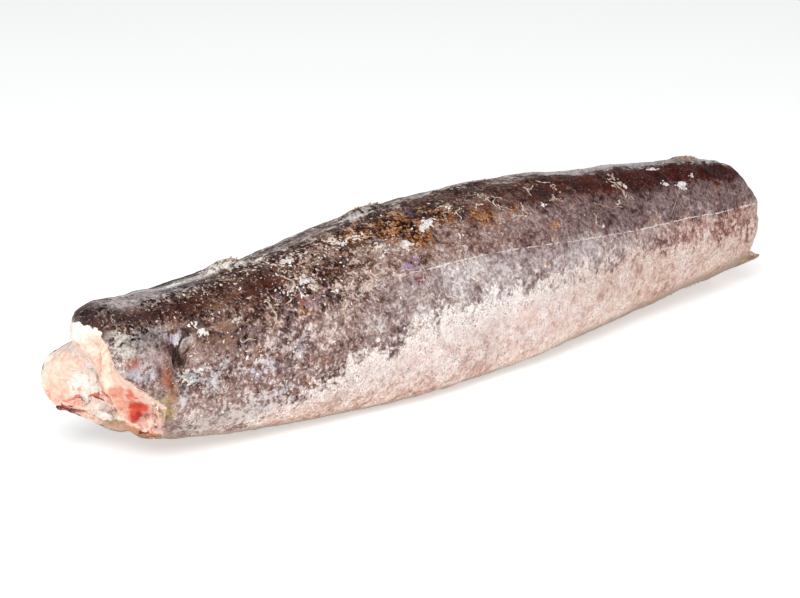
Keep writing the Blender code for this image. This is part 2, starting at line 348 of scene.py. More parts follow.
def headDetail(point):
    # small forms of the cut flesh, and the shreds and fibres that they are made of
    detail = 0.0
    for middleY, middleZ, radiusY, radiusZ, height in headCut["detail"]:
        distance = math.hypot((point.y - middleY) / radiusY, (point.z - middleZ) / radiusZ)
        detail += height * bump(distance, 1.6)
    for size, height in headCut["folds"]:
        fold = noise.noise(Vector((point.x, point.y * 1.8, point.z)) / size)
        detail += height * (0.5 - smoothstep(0.0, 0.4, abs(fold)))
    return detail


tailBack, _, tailBelly, _ = sectionAt(tailCut["x"])
boneZ = tailBelly + (tailBack - tailBelly) * tailCut["bone"][2]


def tailX(y, z):
    rise, radius, _ = tailCut["bone"]
    depth, width, start = tailCut["septum"]
    x = tailCut["x"] + tailCut["slant"] * y - tailCut["bulge"] * (z - boneZ) ** 2
    offBone = math.hypot(y, z - boneZ)
    x += rise * bump(offBone / radius, 3)
    away = smoothstep(radius, start, offBone)
    return x - sum(depth * away * bump(across / width) for across in (y, z - boneZ))


def leafWall(y, up, line):
    # 1 on the thin walls between the leaves of muscle round the backbone
    width = tailCut["leaves"]
    spot = Vector((y, up, 0))
    bend = abs(y) + 0.5 * abs(up) + 2.4 * noise.noise(spot / 6) + 0.7 * noise.noise(spot / 2)
    return bump((bend % width - width / 2) / line)


edgeCache = {}


def edgeX(cutX, angle):
    # where a cut meets the skin
    key = (cutX, angle)
    if key not in edgeCache:
        x = cutX(0.0, headCut["pole"][1])
        for _ in range(6):
            y, z = outline(x, angle)[:2]
            x = cutX(y, z)
        edgeCache[key] = x
    return edgeCache[key]


def skinRelief(x, y, z, angle, halfWidth):
    relief = 0.0
    ridge, scar = skinForm["finWidths"]
    if math.sin(angle) > 0:
        offMidline = y - skinForm["backFinY"]
        for middle, halfLength, height in skinForm["backFinStubs"]:
            relief += height * bump((x - middle) / halfLength, 2) * bump(offMidline / ridge)
        middle, halfLength, depth = skinForm["finScar"]
        relief -= depth * bump((x - middle) / halfLength, 2) * bump(offMidline / scar)
    else:
        start, end, height, finY = skinForm["bellyFin"]
        relief += height * bump((y - finY) / ridge) * smoothstep(start, end, x)
        start, end, taper, depth, width = skinForm["slit"]
        inside = smoothstep(start, start + taper, x) * (1 - smoothstep(end - taper, end, x))
        relief -= depth * bump(y / width) * inside
    onFlank = smoothstep(*skinForm["flankBand"], abs(y) / halfWidth)
    top, bottom, depth, width = skinForm["collar"]
    share = (z - bottom[1]) / (top[1] - bottom[1])
    lineX = bottom[0] + (top[0] - bottom[0]) * share
    inside = smoothstep(-0.1, 0.15, share) * (1 - smoothstep(0.85, 1.1, share))
    relief -= depth * onFlank * bump((x - lineX) / width) * inside
    middle, size, depth = skinForm["finSocket"]
    socket = math.hypot((x - middle[0]) / size[0], (z - middle[1]) / size[1])
    relief -= depth * onFlank * bump(socket, 2)
    return relief + lumps(Vector((x, y, z)), skinForm["lumps"])


def trunkPoint(share, angle):
    # a point on the skin, share 0 at the head cut and 1 at the tail cut, and how far it is from them
    start, end = edgeX(headX, angle), edgeX(tailX, angle)
    end += lumps(Vector((40, 17 * math.cos(angle), 20 * math.sin(angle))), tailCut["nicks"])
    uprightStart, uprightEnd = hakeForm["uprightEnds"]
    x = uprightStart + (uprightEnd - uprightStart) * share
    x += (start - uprightStart) * (1 - share) ** hakeForm["uprighting"]
    x += (end - uprightEnd) * share ** hakeForm["uprighting"]
    y, z, middle, halfWidth = outline(x, angle)
    outward = Vector((0, y, z - middle)).normalized()
    depth = skinRelief(x, y, z, angle, halfWidth)
    rounding = hakeForm["edgeRounding"]
    for gap in (x - start, end - x):
        if gap < rounding:
            drop = 1 - math.sqrt(max(0.0, 1 - (1 - gap / rounding) ** 2))
            depth -= rounding * hakeForm["edgeDrop"] * drop
    rollLength, rollDepth = headCut["roll"]
    roll = max(0.0, 1 - (x - start) / rollLength)
    depth -= rollDepth * max(0.0, math.sin(angle)) ** 2 * roll**2
    point = Vector((x, y, z)) + outward * depth
    if math.sin(angle) < 0:
        reach, rise, scrapShare = skinForm["bellyScrap"]
        scrap = bump((y - skinForm["bellyFin"][3]) / skinForm["finWidths"][0])
        point += scrap * smoothstep(1 - scrapShare, 1, share) * Vector((reach, 0, rise))
    point.z = max(point.z, 0.0)
    return point, min(x - start, end - x)


rimCache = {}


def cutPoint(cutX, pole, edge, share, angle, sizes, facing):
    # a point on a cut face: share 0 in its middle and 1 at the skin
    key = (edge, angle)
    if key not in rimCache:
        rim = trunkPoint(edge, angle)[0]
        rimCache[key] = (rim, rim.x - cutX(rim.y, rim.z))
    rim, offset = rimCache[key]
    y = pole[0] + (rim.y - pole[0]) * share
    z = pole[1] + (rim.z - pole[1]) * share
    fade = share ** hakeForm["rimFade"]
    x = cutX(y, z) + offset * fade
    x += facing * (1 - fade) * lumps(Vector((x, y * fleshForm["stretch"], z)), sizes)
    return Vector((x, y, z)), -(1 - share) * math.hypot(rim.y - pole[0], rim.z - pole[1])


def bodyPoint(ring, angle):
    # ring by ring from the middle of the head cut to the middle of the tail cut
    rings = hakeForm["rings"]
    if ring <= rings["head"]:
        share = ring / rings["head"]
        return cutPoint(headX, headCut["pole"], 0.0, share, angle, fleshForm["lumps"], -1)
    ring -= rings["head"]
    if ring <= rings["trunk"]:
        share = ring / rings["trunk"]
        share -= hakeForm["endCrowding"] * math.sin(2 * math.pi * share) / (2 * math.pi)
        return trunkPoint(share, angle)
    share = 1 - (ring - rings["trunk"]) / rings["tail"]
    return cutPoint(tailX, (0.0, boneZ), 1.0, share, angle, fleshForm["lumps"][1:], 1)


# The fish is rolled a little, so the back's midline is at 85 degrees and the belly's at 255.
skinMap = {
    "backAngle": 85.0,
    "nearSpan": 170.0,  # degrees from the back's midline to the belly's, down the near side
    # x, and the angle of the lateral line and of the upper edge of the white belly
    "lateralLine": (
        (-140, 130), (-110, 133), (-84, 136), (-59, 139), (-30, 143), (0, 145),
        (38, 150), (76, 154), (105, 155), (131, 157), (150, 156),
    ),
    "whiteEdge": (
        (-140, 250), (-124, 240), (-112, 222), (-102, 206), (-93, 196), (-75, 182), (-50, 175),
        (-34, 168), (-20, 167), (0, 166), (25, 167), (50, 169), (76, 168), (95, 170), (111, 174),
        (134, 172), (150, 178),
    ),
    # the painted shade of the underside deepens up to this edge
    "underEdge": ((-150, 240), (150, 240)),  # the edge seen from a little above, at rest on a table
    # x, and how far down the dark back reaches, as a share of the way to the lateral line
    "backReach": (
        (-150, 1.15), (-110, 1.1), (-84, 1.0), (-62, 0.85), (-42, 0.58), (0, 0.42), (56, 0.5),
        (105, 0.5), (150, 0.5),
    ),
}

gridStep = 3.0
gridX = np.arange(-168.0, 163.0, gridStep)
gridTurn = np.arange(0.0, 361.0, 1.0)
lastTurn = 359.999


def measureSkin():
    # length of skin from the back's midline, over x and degrees from that midline
    arcs = []
    for x in gridX:
        points = [outline(x, math.radians(skinMap["backAngle"] + k))[:2] for k in gridTurn]
        steps = np.hypot(*np.diff(np.array(points), axis=0).T)
        arcs.append(np.concatenate(([0.0], np.cumsum(steps))))
    return np.array(arcs)


skinArcs = measureSkin()


def arcAt(x, turn):
    # turn is in degrees from the back's midline, down the near side
    row = np.clip((x - gridX[0]) / gridStep, 0, len(gridX) - 1.001)
    column = np.clip(turn, 0, lastTurn)
    r, c = row.astype(int), column.astype(int)
    alongShare, roundShare = row - r, column - c
    before = skinArcs[r, c] * (1 - roundShare) + skinArcs[r, c + 1] * roundShare
    after = skinArcs[r + 1, c] * (1 - roundShare) + skinArcs[r + 1, c + 1] * roundShare
    return before * (1 - alongShare) + after * alongShare


def farSide(turn):
    # the turn of the same line on the far side, which spans a little more
    return 360 - turn / skinMap["nearSpan"] * (360 - skinMap["nearSpan"])


def mapSkin(x, angle):
    # arc from the back's midline (near side positive), share of the way from there to the lateral
    # line, and distances below the lateral line, the white edge and the edge of the underside
    x = np.asarray(x, float)
    turn = (np.asarray(angle, float) - skinMap["backAngle"]) % 360
    near = turn <= skinMap["nearSpan"]
    total = arcAt(x, np.full_like(x, lastTurn))
    arc = arcAt(x, turn)
    arc = np.where(near, arc, total - arc)
    lines = []
    for key in ("lateralLine", "whiteEdge", "underEdge"):
        places = np.interp(x, *np.array(skinMap[key], float).T) - skinMap["backAngle"]
        lines.append(np.where(near, arcAt(x, places), total - arcAt(x, farSide(places))))
    return np.where(near, arc, -arc), arc / lines[0], *(arc - line for line in lines), total


plainFlesh = "#efcdbb"
# y, z, radius in y, radius in z, turn, colour and strength of each patch of the head cut
headPatches = (
    (-2, 51.5, 11, 6, 0, "#faf2e4", 1.0),  # fatty nape
    (-8, 47, 4, 1.6, 12, "#f0cbb8", 0.8),
    (-9, 50, 3, 0.7, 30, "#ecbdaa", 0.7),
    (-3, 43.5, 9, 2.4, 0, "#f6ddcc", 0.9),
    (12, 29, 11, 13, 0, "#f8d6c4", 1.0),  # far shoulder lobe
    (12, 24, 5, 5, 0, "#f5c6b0", 0.7),
    (12, 18.5, 8, 3, 0, "#edbcae", 0.8),
    (18.5, 31, 2.2, 12, 0, "#e8ddd3", 0.9),  # icy rim of the lobe
    (12, 38.5, 9, 2.4, 0, "#f3e3d8", 0.8),
    (5, 28, 3.6, 7.5, 12, "#fbf3ec", 1.0),  # white membrane of the belly cavity
    (7.8, 25.5, 0.5, 1.2, 10, "#d98a78", 0.8),
    (1.5, 24, 1.0, 2.4, -20, "#e0a08c", 0.7),
    (0, 37, 3, 8, 0, "#eec4ae", 0.9),
    (-4, 33, 1.4, 8, 5, "#dfa691", 0.6),
    (-11, 39, 2.6, 10, 4, "#f5e2cd", 1.0),  # front edge of the near flank
    (-8.4, 37, 0.9, 8, 4, "#e6b59e", 0.8),
    (-10.4, 28.5, 2.0, 3.4, 0, "#eecf9c", 0.9),
    (-14.6, 33, 1.6, 6, 10, "#f3cbb8", 0.9),
    (-12.9, 29.5, 0.8, 4.0, 8, "#e08a70", 0.75),
    (-14.4, 27.5, 0.6, 3.0, 8, "#d2614b", 0.9),
    (-11.6, 25, 1.2, 1.8, 0, "#e4866c", 0.8),
    (-12.6, 20.5, 2.8, 4.4, 15, "#e38a72", 0.95),  # blood clot in the throat
    (-12.6, 21.5, 1.9, 3.0, 15, "#d2543d", 1.0), (-12.6, 18.0, 1.4, 2.4, 0, "#b23a2a", 0.9),
    (-11.0, 24, 0.9, 2.6, 20, "#f0b49c", 0.9),
    (-17.4, 26, 1.6, 4, 15, "#f2d3c2", 0.9),
    (-18.0, 20.4, 1.6, 3.4, 10, "#93805a", 0.95),  # thin skin of the belly wall
    (-15.8, 15.6, 3.0, 4.9, 10, "#e3b3ae", 1.0),  # pale throat muscle
    (2, 19.5, 7, 1.8, -18, "#f8e8dc", 1.0),  # belly flap, and the fold under it
    (5.5, 22.4, 5, 0.7, -18, "#c9705f", 1.0),
    # painted shade in the fold under the belly flap
    (0, 17.6, 5, 0.5, -18, "#a9695a", 0.9),
    (10, 20.6, 2.4, 0.6, -10, "#d48877", 0.9),
    (-6, 21, 3.4, 1.2, -10, "#e5ad98", 0.9),
    (1, 16, 6, 2.2, -5, "#eee2d4", 1.0),
    (-5, 15.5, 3.5, 2.0, 0, "#f0dccb", 0.9),
    (1.5, 12, 5, 1.5, 0, "#b39473", 0.9), (4, 9.2, 8, 2.0, 0, "#c29f88", 0.85),
    (-8, 9.4, 8, 1.8, 0, "#c98763", 1.0),  # edge of the belly wall
    (-8, 7.4, 8, 1.2, 0, "#93563a", 1.0),
    (13.5, 17, 3.2, 1.3, 0, "#7a2f2a", 1.0),  # kidney left under the lobe
    (9, 16, 2.5, 1.1, 0, "#ad6456", 0.9),
)


# the tail cut: white muscle in leaves round the backbone, with a dark line of blood under it
tailPaint = {
    "muscle": "#eed8cb",
    "leafEdge": "#c08e7d",
    "redMuscle": "#9c5548",
    "fat": "#e0c3b2",
    "ice": "#f4efea",
    "bone": "#efe0d8",
    "marrow": "#8d3a33",
    "blood": "#7c2c28",
}


def paintTail(y, z):
    look = tailPaint
    radius = tailCut["bone"][1]
    up = z - boneZ
    off = math.hypot(y, up)
    spot = Vector((y, up, 0))
    wander, fade = noise.noise(spot / 6), noise.noise(spot / 3.5)
    redBand = smoothstep(7, 13, abs(y)) * bump((up + 2 * wander) / (0.25 * abs(y)), 1.5)
    redPatch = smoothstep(0.15, 0.5, noise.noise(spot / 4 + Vector((5, 5, 5))))
    iceTone = noise.noise(spot / 3.4) + 0.5 * noise.noise(spot / 0.9)
    colour = tintOf(look["muscle"])
    for name, amount in (
        ("fat", 0.6 * smoothstep(9, 17, off)),
        ("leafEdge", smoothstep(-0.5, 0.3, fade) * leafWall(y, up, 0.5)),
        ("leafEdge", 0.6 * bump((up + wander) / 0.6) * smoothstep(radius, 8, off)),
        ("redMuscle", 0.7 * redBand),
        ("redMuscle", 0.35 * redPatch),
        ("ice", 0.7 * smoothstep(0.1, 0.6, iceTone)),
        ("blood", bump(math.hypot(y / 1.5, (up + radius + 1.6) / 1.8), 2)),
        ("bone", 1 - smoothstep(radius - 0.6, radius + 0.3, off)),
        ("marrow", 0.9 * (1 - smoothstep(0.8, 1.7, off))),
        ("bone", 0.9 * bump(math.hypot(y / 1.2, (up - radius - 2.2) / 2.4), 2)),
    ):
        colour = colour + (tintOf(look[name]) - colour) * min(max(amount, 0.0), 1.0)
    return (*colour, 1.0)


def paintFlesh(spot):
    colour = tintOf(plainFlesh)
    # wandering gives every patch a ragged edge
    y, z = spot.y, spot.z
    y += 1.5 * noise.noise(spot / 2.6) + 0.5 * noise.noise(spot / 0.8)
    z += 1.5 * noise.noise(spot / 2.4 + Vector((9, 9, 9)))
    z += 0.5 * noise.noise(spot / 0.9 + Vector((2, 2, 2)))
    for middleY, middleZ, radiusY, radiusZ, turn, tint, strength in headPatches:
        lean, across, up = math.radians(turn), y - middleY, z - middleZ
        along = across * math.cos(lean) + up * math.sin(lean)
        up = up * math.cos(lean) - across * math.sin(lean)
        share = strength * bump(math.hypot(along / radiusY, up / radiusZ), 3)
        colour += (tintOf(tint) - colour) * share
    fibre = noise.noise(Vector((y * 1.6 + z * 0.35, z * 0.4, 0))) + noise.noise(spot / 1.2)
    return (*(colour * (1 + 0.2 * fibre)), 1.0)


# x, angle, reach along and across, and strength
wornPatches = (
    (-30, 111, 13, 6, 0.95), (-27, 122, 7, 5, 1.0), (-50, 105, 10, 5, 0.6), (-12, 111, 11, 6, 0.8),
    (3, 119, 10, 5, 0.75), (21, 119, 7, 3, 0.5), (-86, 145, 12, 5, 0.35), (-101, 172, 9, 7, 0.35),
    (-88, 190, 10, 7, 0.4), (82, 119, 4, 3, 0.3), (-112, 133, 12, 5, 0.35), (-30, 62, 14, 8, 0.9),
    (10, 48, 10, 6, 0.7), (-80, 20, 14, 9, 0.5), (70, 50, 8, 5, 0.5),
)
frostPatches = (
    (-90, 92, 12, 9, 0.5), (-78, 104, 10, 7, 0.45), (-78, 125, 6, 3.5, 0.8), (-81, 130, 4, 2, 0.5),
    (-54, 106, 12, 5, 0.7), (-44, 121, 6, 3, 0.6), (-20, 115, 4, 2, 0.6), (-6, 106, 9, 3, 0.4),
    (-112, 103, 12, 4, 0.45), (-120, 145, 14, 12, 0.25), (-66, 150, 26, 12, 0.35),
    (-100, 195, 22, 10, 0.4), (-85, 60, 20, 12, 0.8), (-30, 40, 14, 8, 0.7), (40, 60, 12, 6, 0.5),
    (-120, 30, 16, 14, 0.5),
)

plainSkin = "#8f8078"
# stains, bruises and ice on the skin: x, angle, reach along and across, colour and strength
skinPatches = (
    # the grey of the icy nape is partly a painted sheen on the top of the back
    (-138, 96, 17, 5.0, "#aca09e", 1.0), (-120, 92, 10, 4, "#9a8e8d", 0.8),  # icy nape
    (-157, 98, 4.5, 12, "#3c1f17", 0.72),  # skin rolled over the nape
    (-155, 60, 6, 14, "#402922", 0.7),
    (-146, 112, 13, 4.5, "#3c1d16", 0.62), (-130, 121, 14, 3, "#3a1a14", 0.7),  # dark band below it
    (-152, 141, 4, 6, "#b3aba3", 0.95),  # silvery frost by the cut
    (-147, 146, 5, 5, "#9c918b", 0.8),
    (-141, 141, 6, 5, "#857978", 0.9), (-141, 155, 5, 5, "#8f7d7b", 0.8),
    (-132, 139, 3.5, 2.2, "#b5adb8", 0.8), (-129, 143, 2.2, 1.6, "#dcd5d6", 0.75),
    (-150.5, 156, 2.6, 2.2, "#83493d", 0.9), (-148, 171, 3, 1.8, "#7c4234", 0.9),  # red spots
    (-151, 163, 2.4, 1.6, "#85828a", 0.7), (-146, 166, 5, 3.5, "#a79d9f", 0.8),
    (-132.5, 149, 1.9, 2.6, "#1f0d0a", 1.0),  # pit of the fin
    (-131.5, 157, 1.7, 2.6, "#241110", 0.9),
    (-134.5, 158, 1.0, 4.5, "#33191a", 0.8), (-128.8, 141, 1.2, 3.2, "#241210", 0.9),
    (-127.5, 137, 1.8, 2, "#321d18", 0.9), (-137, 148, 3, 3, "#6d4c45", 0.8),
    (-139, 167, 2.6, 4.2, "#8a5140", 0.9), (-132.5, 168, 3.0, 2.0, "#d3cac4", 0.85),
    (-129.5, 171, 2.2, 2.4, "#d5d6d6", 0.9), (-133, 176, 1.6, 1.5, "#3a2420", 1.0),
    (-141.8, 164, 1.2, 3.4, "#46241d", 0.9), (-137.5, 174, 1.2, 3.0, "#57301f", 0.8),
    (-137, 181, 2.4, 4, "#94684a", 0.7), (-133, 183, 2.6, 3.5, "#a9a09e", 0.8),
    (-140, 196, 3.0, 5.5, "#85724f", 0.95), (-143, 182, 3.5, 4, "#8b7c6e", 0.7),
    (-35, 137, 4, 2.5, "#8d7790", 0.7), (-34, 147, 4, 2, "#6e3a3c", 0.6),  # bruises
    (-77, 140, 4, 3, "#75505a", 0.7), (-62, 113, 6, 3, "#5c1f14", 0.7),
    (-87, 164, 4, 3, "#9690a6", 0.5),
    (-111, 107, 13, 2.6, "#3d221b", 0.6), (-95, 118, 11, 3.0, "#4b1f16", 0.62),
    (-84, 135, 5, 2.5, "#5d2a24", 0.55),
    (-89, 111, 9, 4, "#42221b", 0.6), (-112, 120, 12, 5, "#5c3d30", 0.5),
    (-92, 160, 17, 8, "#b2a19d", 0.5),
    (-66, 108, 13, 7, "#9c8273", 0.5), (-62, 140, 12, 8, "#b39f94", 0.5),
    (-104, 171, 7, 4, "#aca4ab", 0.5), (-118, 147, 10, 7, "#755747", 0.7),
    (-122, 172, 8, 7, "#a8a0a1", 0.6),
    (122, 110, 38, 7.0, "#3c0e07", 1.0), (80, 112, 26, 7, "#43160e", 0.75),
    (36, 114, 24, 6, "#4f251b", 0.5),
    (0, 113, 20, 5, "#50281c", 0.4), (100, 40, 44, 8, "#3c1009", 0.8),
    (-116, 70, 24, 2.6, "#2c1814", 0.9), (-116, 92, 16, 1.8, "#4a3833", 0.8),
    (-119.5, 85, 9.5, 3.8, "#21120f", 1.0),  # scar of the first fin
    (-120, 85, 8, 2.4, "#e8e3df", 1.0),
    (-104, 84, 7, 2.4, "#cfc7c0", 0.9), (-96, 86, 4, 2.5, "#cdc6bd", 0.8),
    (-34, 84, 7, 3, "#a79c95", 0.7),
    (133, 84, 5, 2.4, "#b08a62", 0.9),
    (-30, 57, 6, 4, "#7d5160", 0.6), (-112, 40, 8, 6, "#9a9096", 0.7),
    (60, 25, 8, 4, "#857b88", 0.4),
    (-140, 60, 10, 7, "#9a9293", 0.9), (-148, 30, 7, 6, "#b8aea6", 0.8),
    (-128, 18, 4, 3, "#3a2723", 0.8),
    (-156, 22, 4, 12, "#c9bdb4", 0.75), (-156, 350, 4, 12, "#bcaea5", 0.7),
    (-112, 200, 17, 6, "#a49996", 0.65), (-126, 212, 13, 6, "#9f928b", 0.65),
    (-95, 184, 12, 5, "#b5a9aa", 0.5),
)


def placeOnSkin(x, angle):
    # signed arc from the back's midline of one place
    return mapSkin(np.array([float(x)]), np.array([float(angle)]))[0][0]


def patchShare(x, signedArc, middle, angle, reachX, reachArc):
    offArc = signedArc - placeOnSkin(middle, angle)
    distance = ((x - middle) / reachX) ** 2 + (offArc / reachArc) ** 2
    return np.exp(-(distance**1.2))


def paintPatches(x, signedArc, patches):
    total = np.zeros_like(x)
    for *place, strength in patches:
        total = np.maximum(total, strength * patchShare(x, signedArc, *place))
    return total


def paintStains(x, signedArc):
    # colour, and how strong it is in the fourth channel
    stain = np.tile(np.append(tintOf(plainSkin), 0.0), (len(x), 1))
    for *place, colour, strength in skinPatches:
        share = (strength * patchShare(x, signedArc, *place))[:, None]
        hold = share / np.maximum(share + stain[:, 3:] * (1 - share), 1e-6)
        stain[:, :3] += (tintOf(colour) - stain[:, :3]) * hold
        stain[:, 3:] = 1 - (1 - stain[:, 3:]) * (1 - share)
    return stain


def makeBody(material):
    rings = sum(hakeForm["rings"].values())
    shape = bmesh.new()
    bmesh.ops.create_uvsphere(shape, u_segments=hakeForm["segments"], v_segments=rings, radius=1.0)
    notes = []  # angle and distance from the nearest cut edge, for each vertex
    headFace = []
    for vertex in shape.verts:
        ring = round(math.acos(max(-1.0, min(1.0, vertex.co.z))) / math.pi * rings)
        turn = math.atan2(vertex.co.y, vertex.co.x) % (2 * math.pi)
        angle = round(turn + hakeForm["midlineCrowding"] * math.sin(2 * turn), 6)
        vertex.co, rim = bodyPoint(ring, angle)
        notes.append((math.degrees(angle) % 360, rim))
        if ring < hakeForm["rings"]["head"]:
            headFace.append(vertex)
    for _ in range(headCut["smoothing"]):
        bmesh.ops.smooth_vert(
            shape, verts=headFace, factor=0.5, use_axis_x=True, use_axis_y=True, use_axis_z=True
        )
    bmesh.ops.recalc_face_normals(shape, faces=shape.faces)
    shape.normal_update()
    offsets = []
    for vertex, (angle, rim) in zip(shape.verts, notes):
        skin = smoothstep(-0.8, 0.8, rim)
        fine = skin * lumps(vertex.co, skinForm["wrinkles"])
        fine += (1 - skin) * lumps(vertex.co, fleshForm["fibres"])
        if skin < 1 and vertex.co.x < 0:
            fine += (1 - skin) * headDetail(vertex.co)
        elif skin < 1:
            pitch, depth = tailCut["saw"]
            up = vertex.co.z - boneZ
            cut = depth * math.sin(2 * math.pi * (0.8 * vertex.co.y + 0.6 * up) / pitch)
            fine += (1 - skin) * (cut - tailCut["leafDepth"] * leafWall(vertex.co.y, up, 0.7))
        if vertex.co.z < hakeForm["flatBelow"]:
            fine = 0.0
        offsets.append(vertex.normal * fine)
    for vertex, offset in zip(shape.verts, offsets):
        vertex.co += offset
        vertex.co.z = max(vertex.co.z, 0.0)
    bmesh.ops.translate(shape, vec=hakeForm["shift"], verts=shape.verts)
    points = np.array([vertex.co[:] for vertex in shape.verts])
    piece = finishPiece("hakeBody", shape, material)

    angles, rims = np.array(notes).T
    x = points[:, 0] - hakeForm["shift"].x
    signedArc, back, lineDrop, whiteDrop, underDrop, total = mapSkin(x, angles)
    mesh = piece.data
    iceAndSheenX, *iceAndSheenSides = np.array(frozenSkin["glaze"], float).T
    low, high = (np.interp(x, iceAndSheenX, side) for side in iceAndSheenSides)
    fade = frozenSkin["iceAndSheenEdge"]
    fields = {
        "rim": rims,
        "back": np.clip(back / np.interp(x, *np.array(skinMap["backReach"], float).T), 0, 4),
        "lineDrop": lineDrop,
        "whiteDrop": whiteDrop,
        "underDrop": underDrop,
        "worn": paintPatches(x, signedArc, wornPatches),
        "frost": paintPatches(x, signedArc, frostPatches),
        # ice along the back's midline with its painted sheen, soft at both edges
        "glaze": np.clip((signedArc - low) / fade, 0, 1) * np.clip((high - signedArc) / fade, 0, 1),
        "scrap": np.where(
            np.sin(np.radians(angles)) < 0,
            np.exp(-(((points[:, 1] - skinForm["bellyFin"][3]) / 4.2) ** 2))
            * np.clip((points[:, 0] - 146) / 3, 0, 1),
            0.0,
        ),
    }
    for name, values in fields.items():
        field = mesh.attributes.new(name, "FLOAT", "POINT")
        field.data.foreach_set("value", values.astype(np.float32))
    flesh = []
    for point, rim in zip(points, rims):
        if rim > 2:  # deep under the skin, where no flesh shows
            flesh.append((0.8, 0.6, 0.5, 1.0))
        else:
            flesh.append(paintFlesh(Vector(point)) if point[0] < 0 else paintTail(*point[1:]))
    for name, values in (("flesh", np.array(flesh)), ("stain", paintStains(x, signedArc))):
        field = mesh.attributes.new(name, "FLOAT_COLOR", "POINT")
        field.data.foreach_set("color", values.astype(np.float32).ravel())
    # the wrap map is in decimetres: along the fish, and round it from the back's midline
    corner = np.empty(len(mesh.loops), int)
    mesh.loops.foreach_get("vertex_index", corner)
    around = signedArc[corner]
    starts = np.empty(len(mesh.polygons), int)
    mesh.polygons.foreach_get("loop_start", starts)
    # where a face crosses the belly's midline, its far corners count on from the near side
    span = np.maximum.reduceat(around, starts) - np.minimum.reduceat(around, starts)
    straddles = np.repeat(span > 40, np.diff(np.append(starts, len(around))))
    around = np.where(straddles & (around < 0), around + total[corner], around)
    wrap = mesh.uv_layers.new(name="wrap")
    wrap.data.foreach_set("uv", (np.stack([x[corner], around], 1) / 100).astype(np.float32).ravel())
    return piece
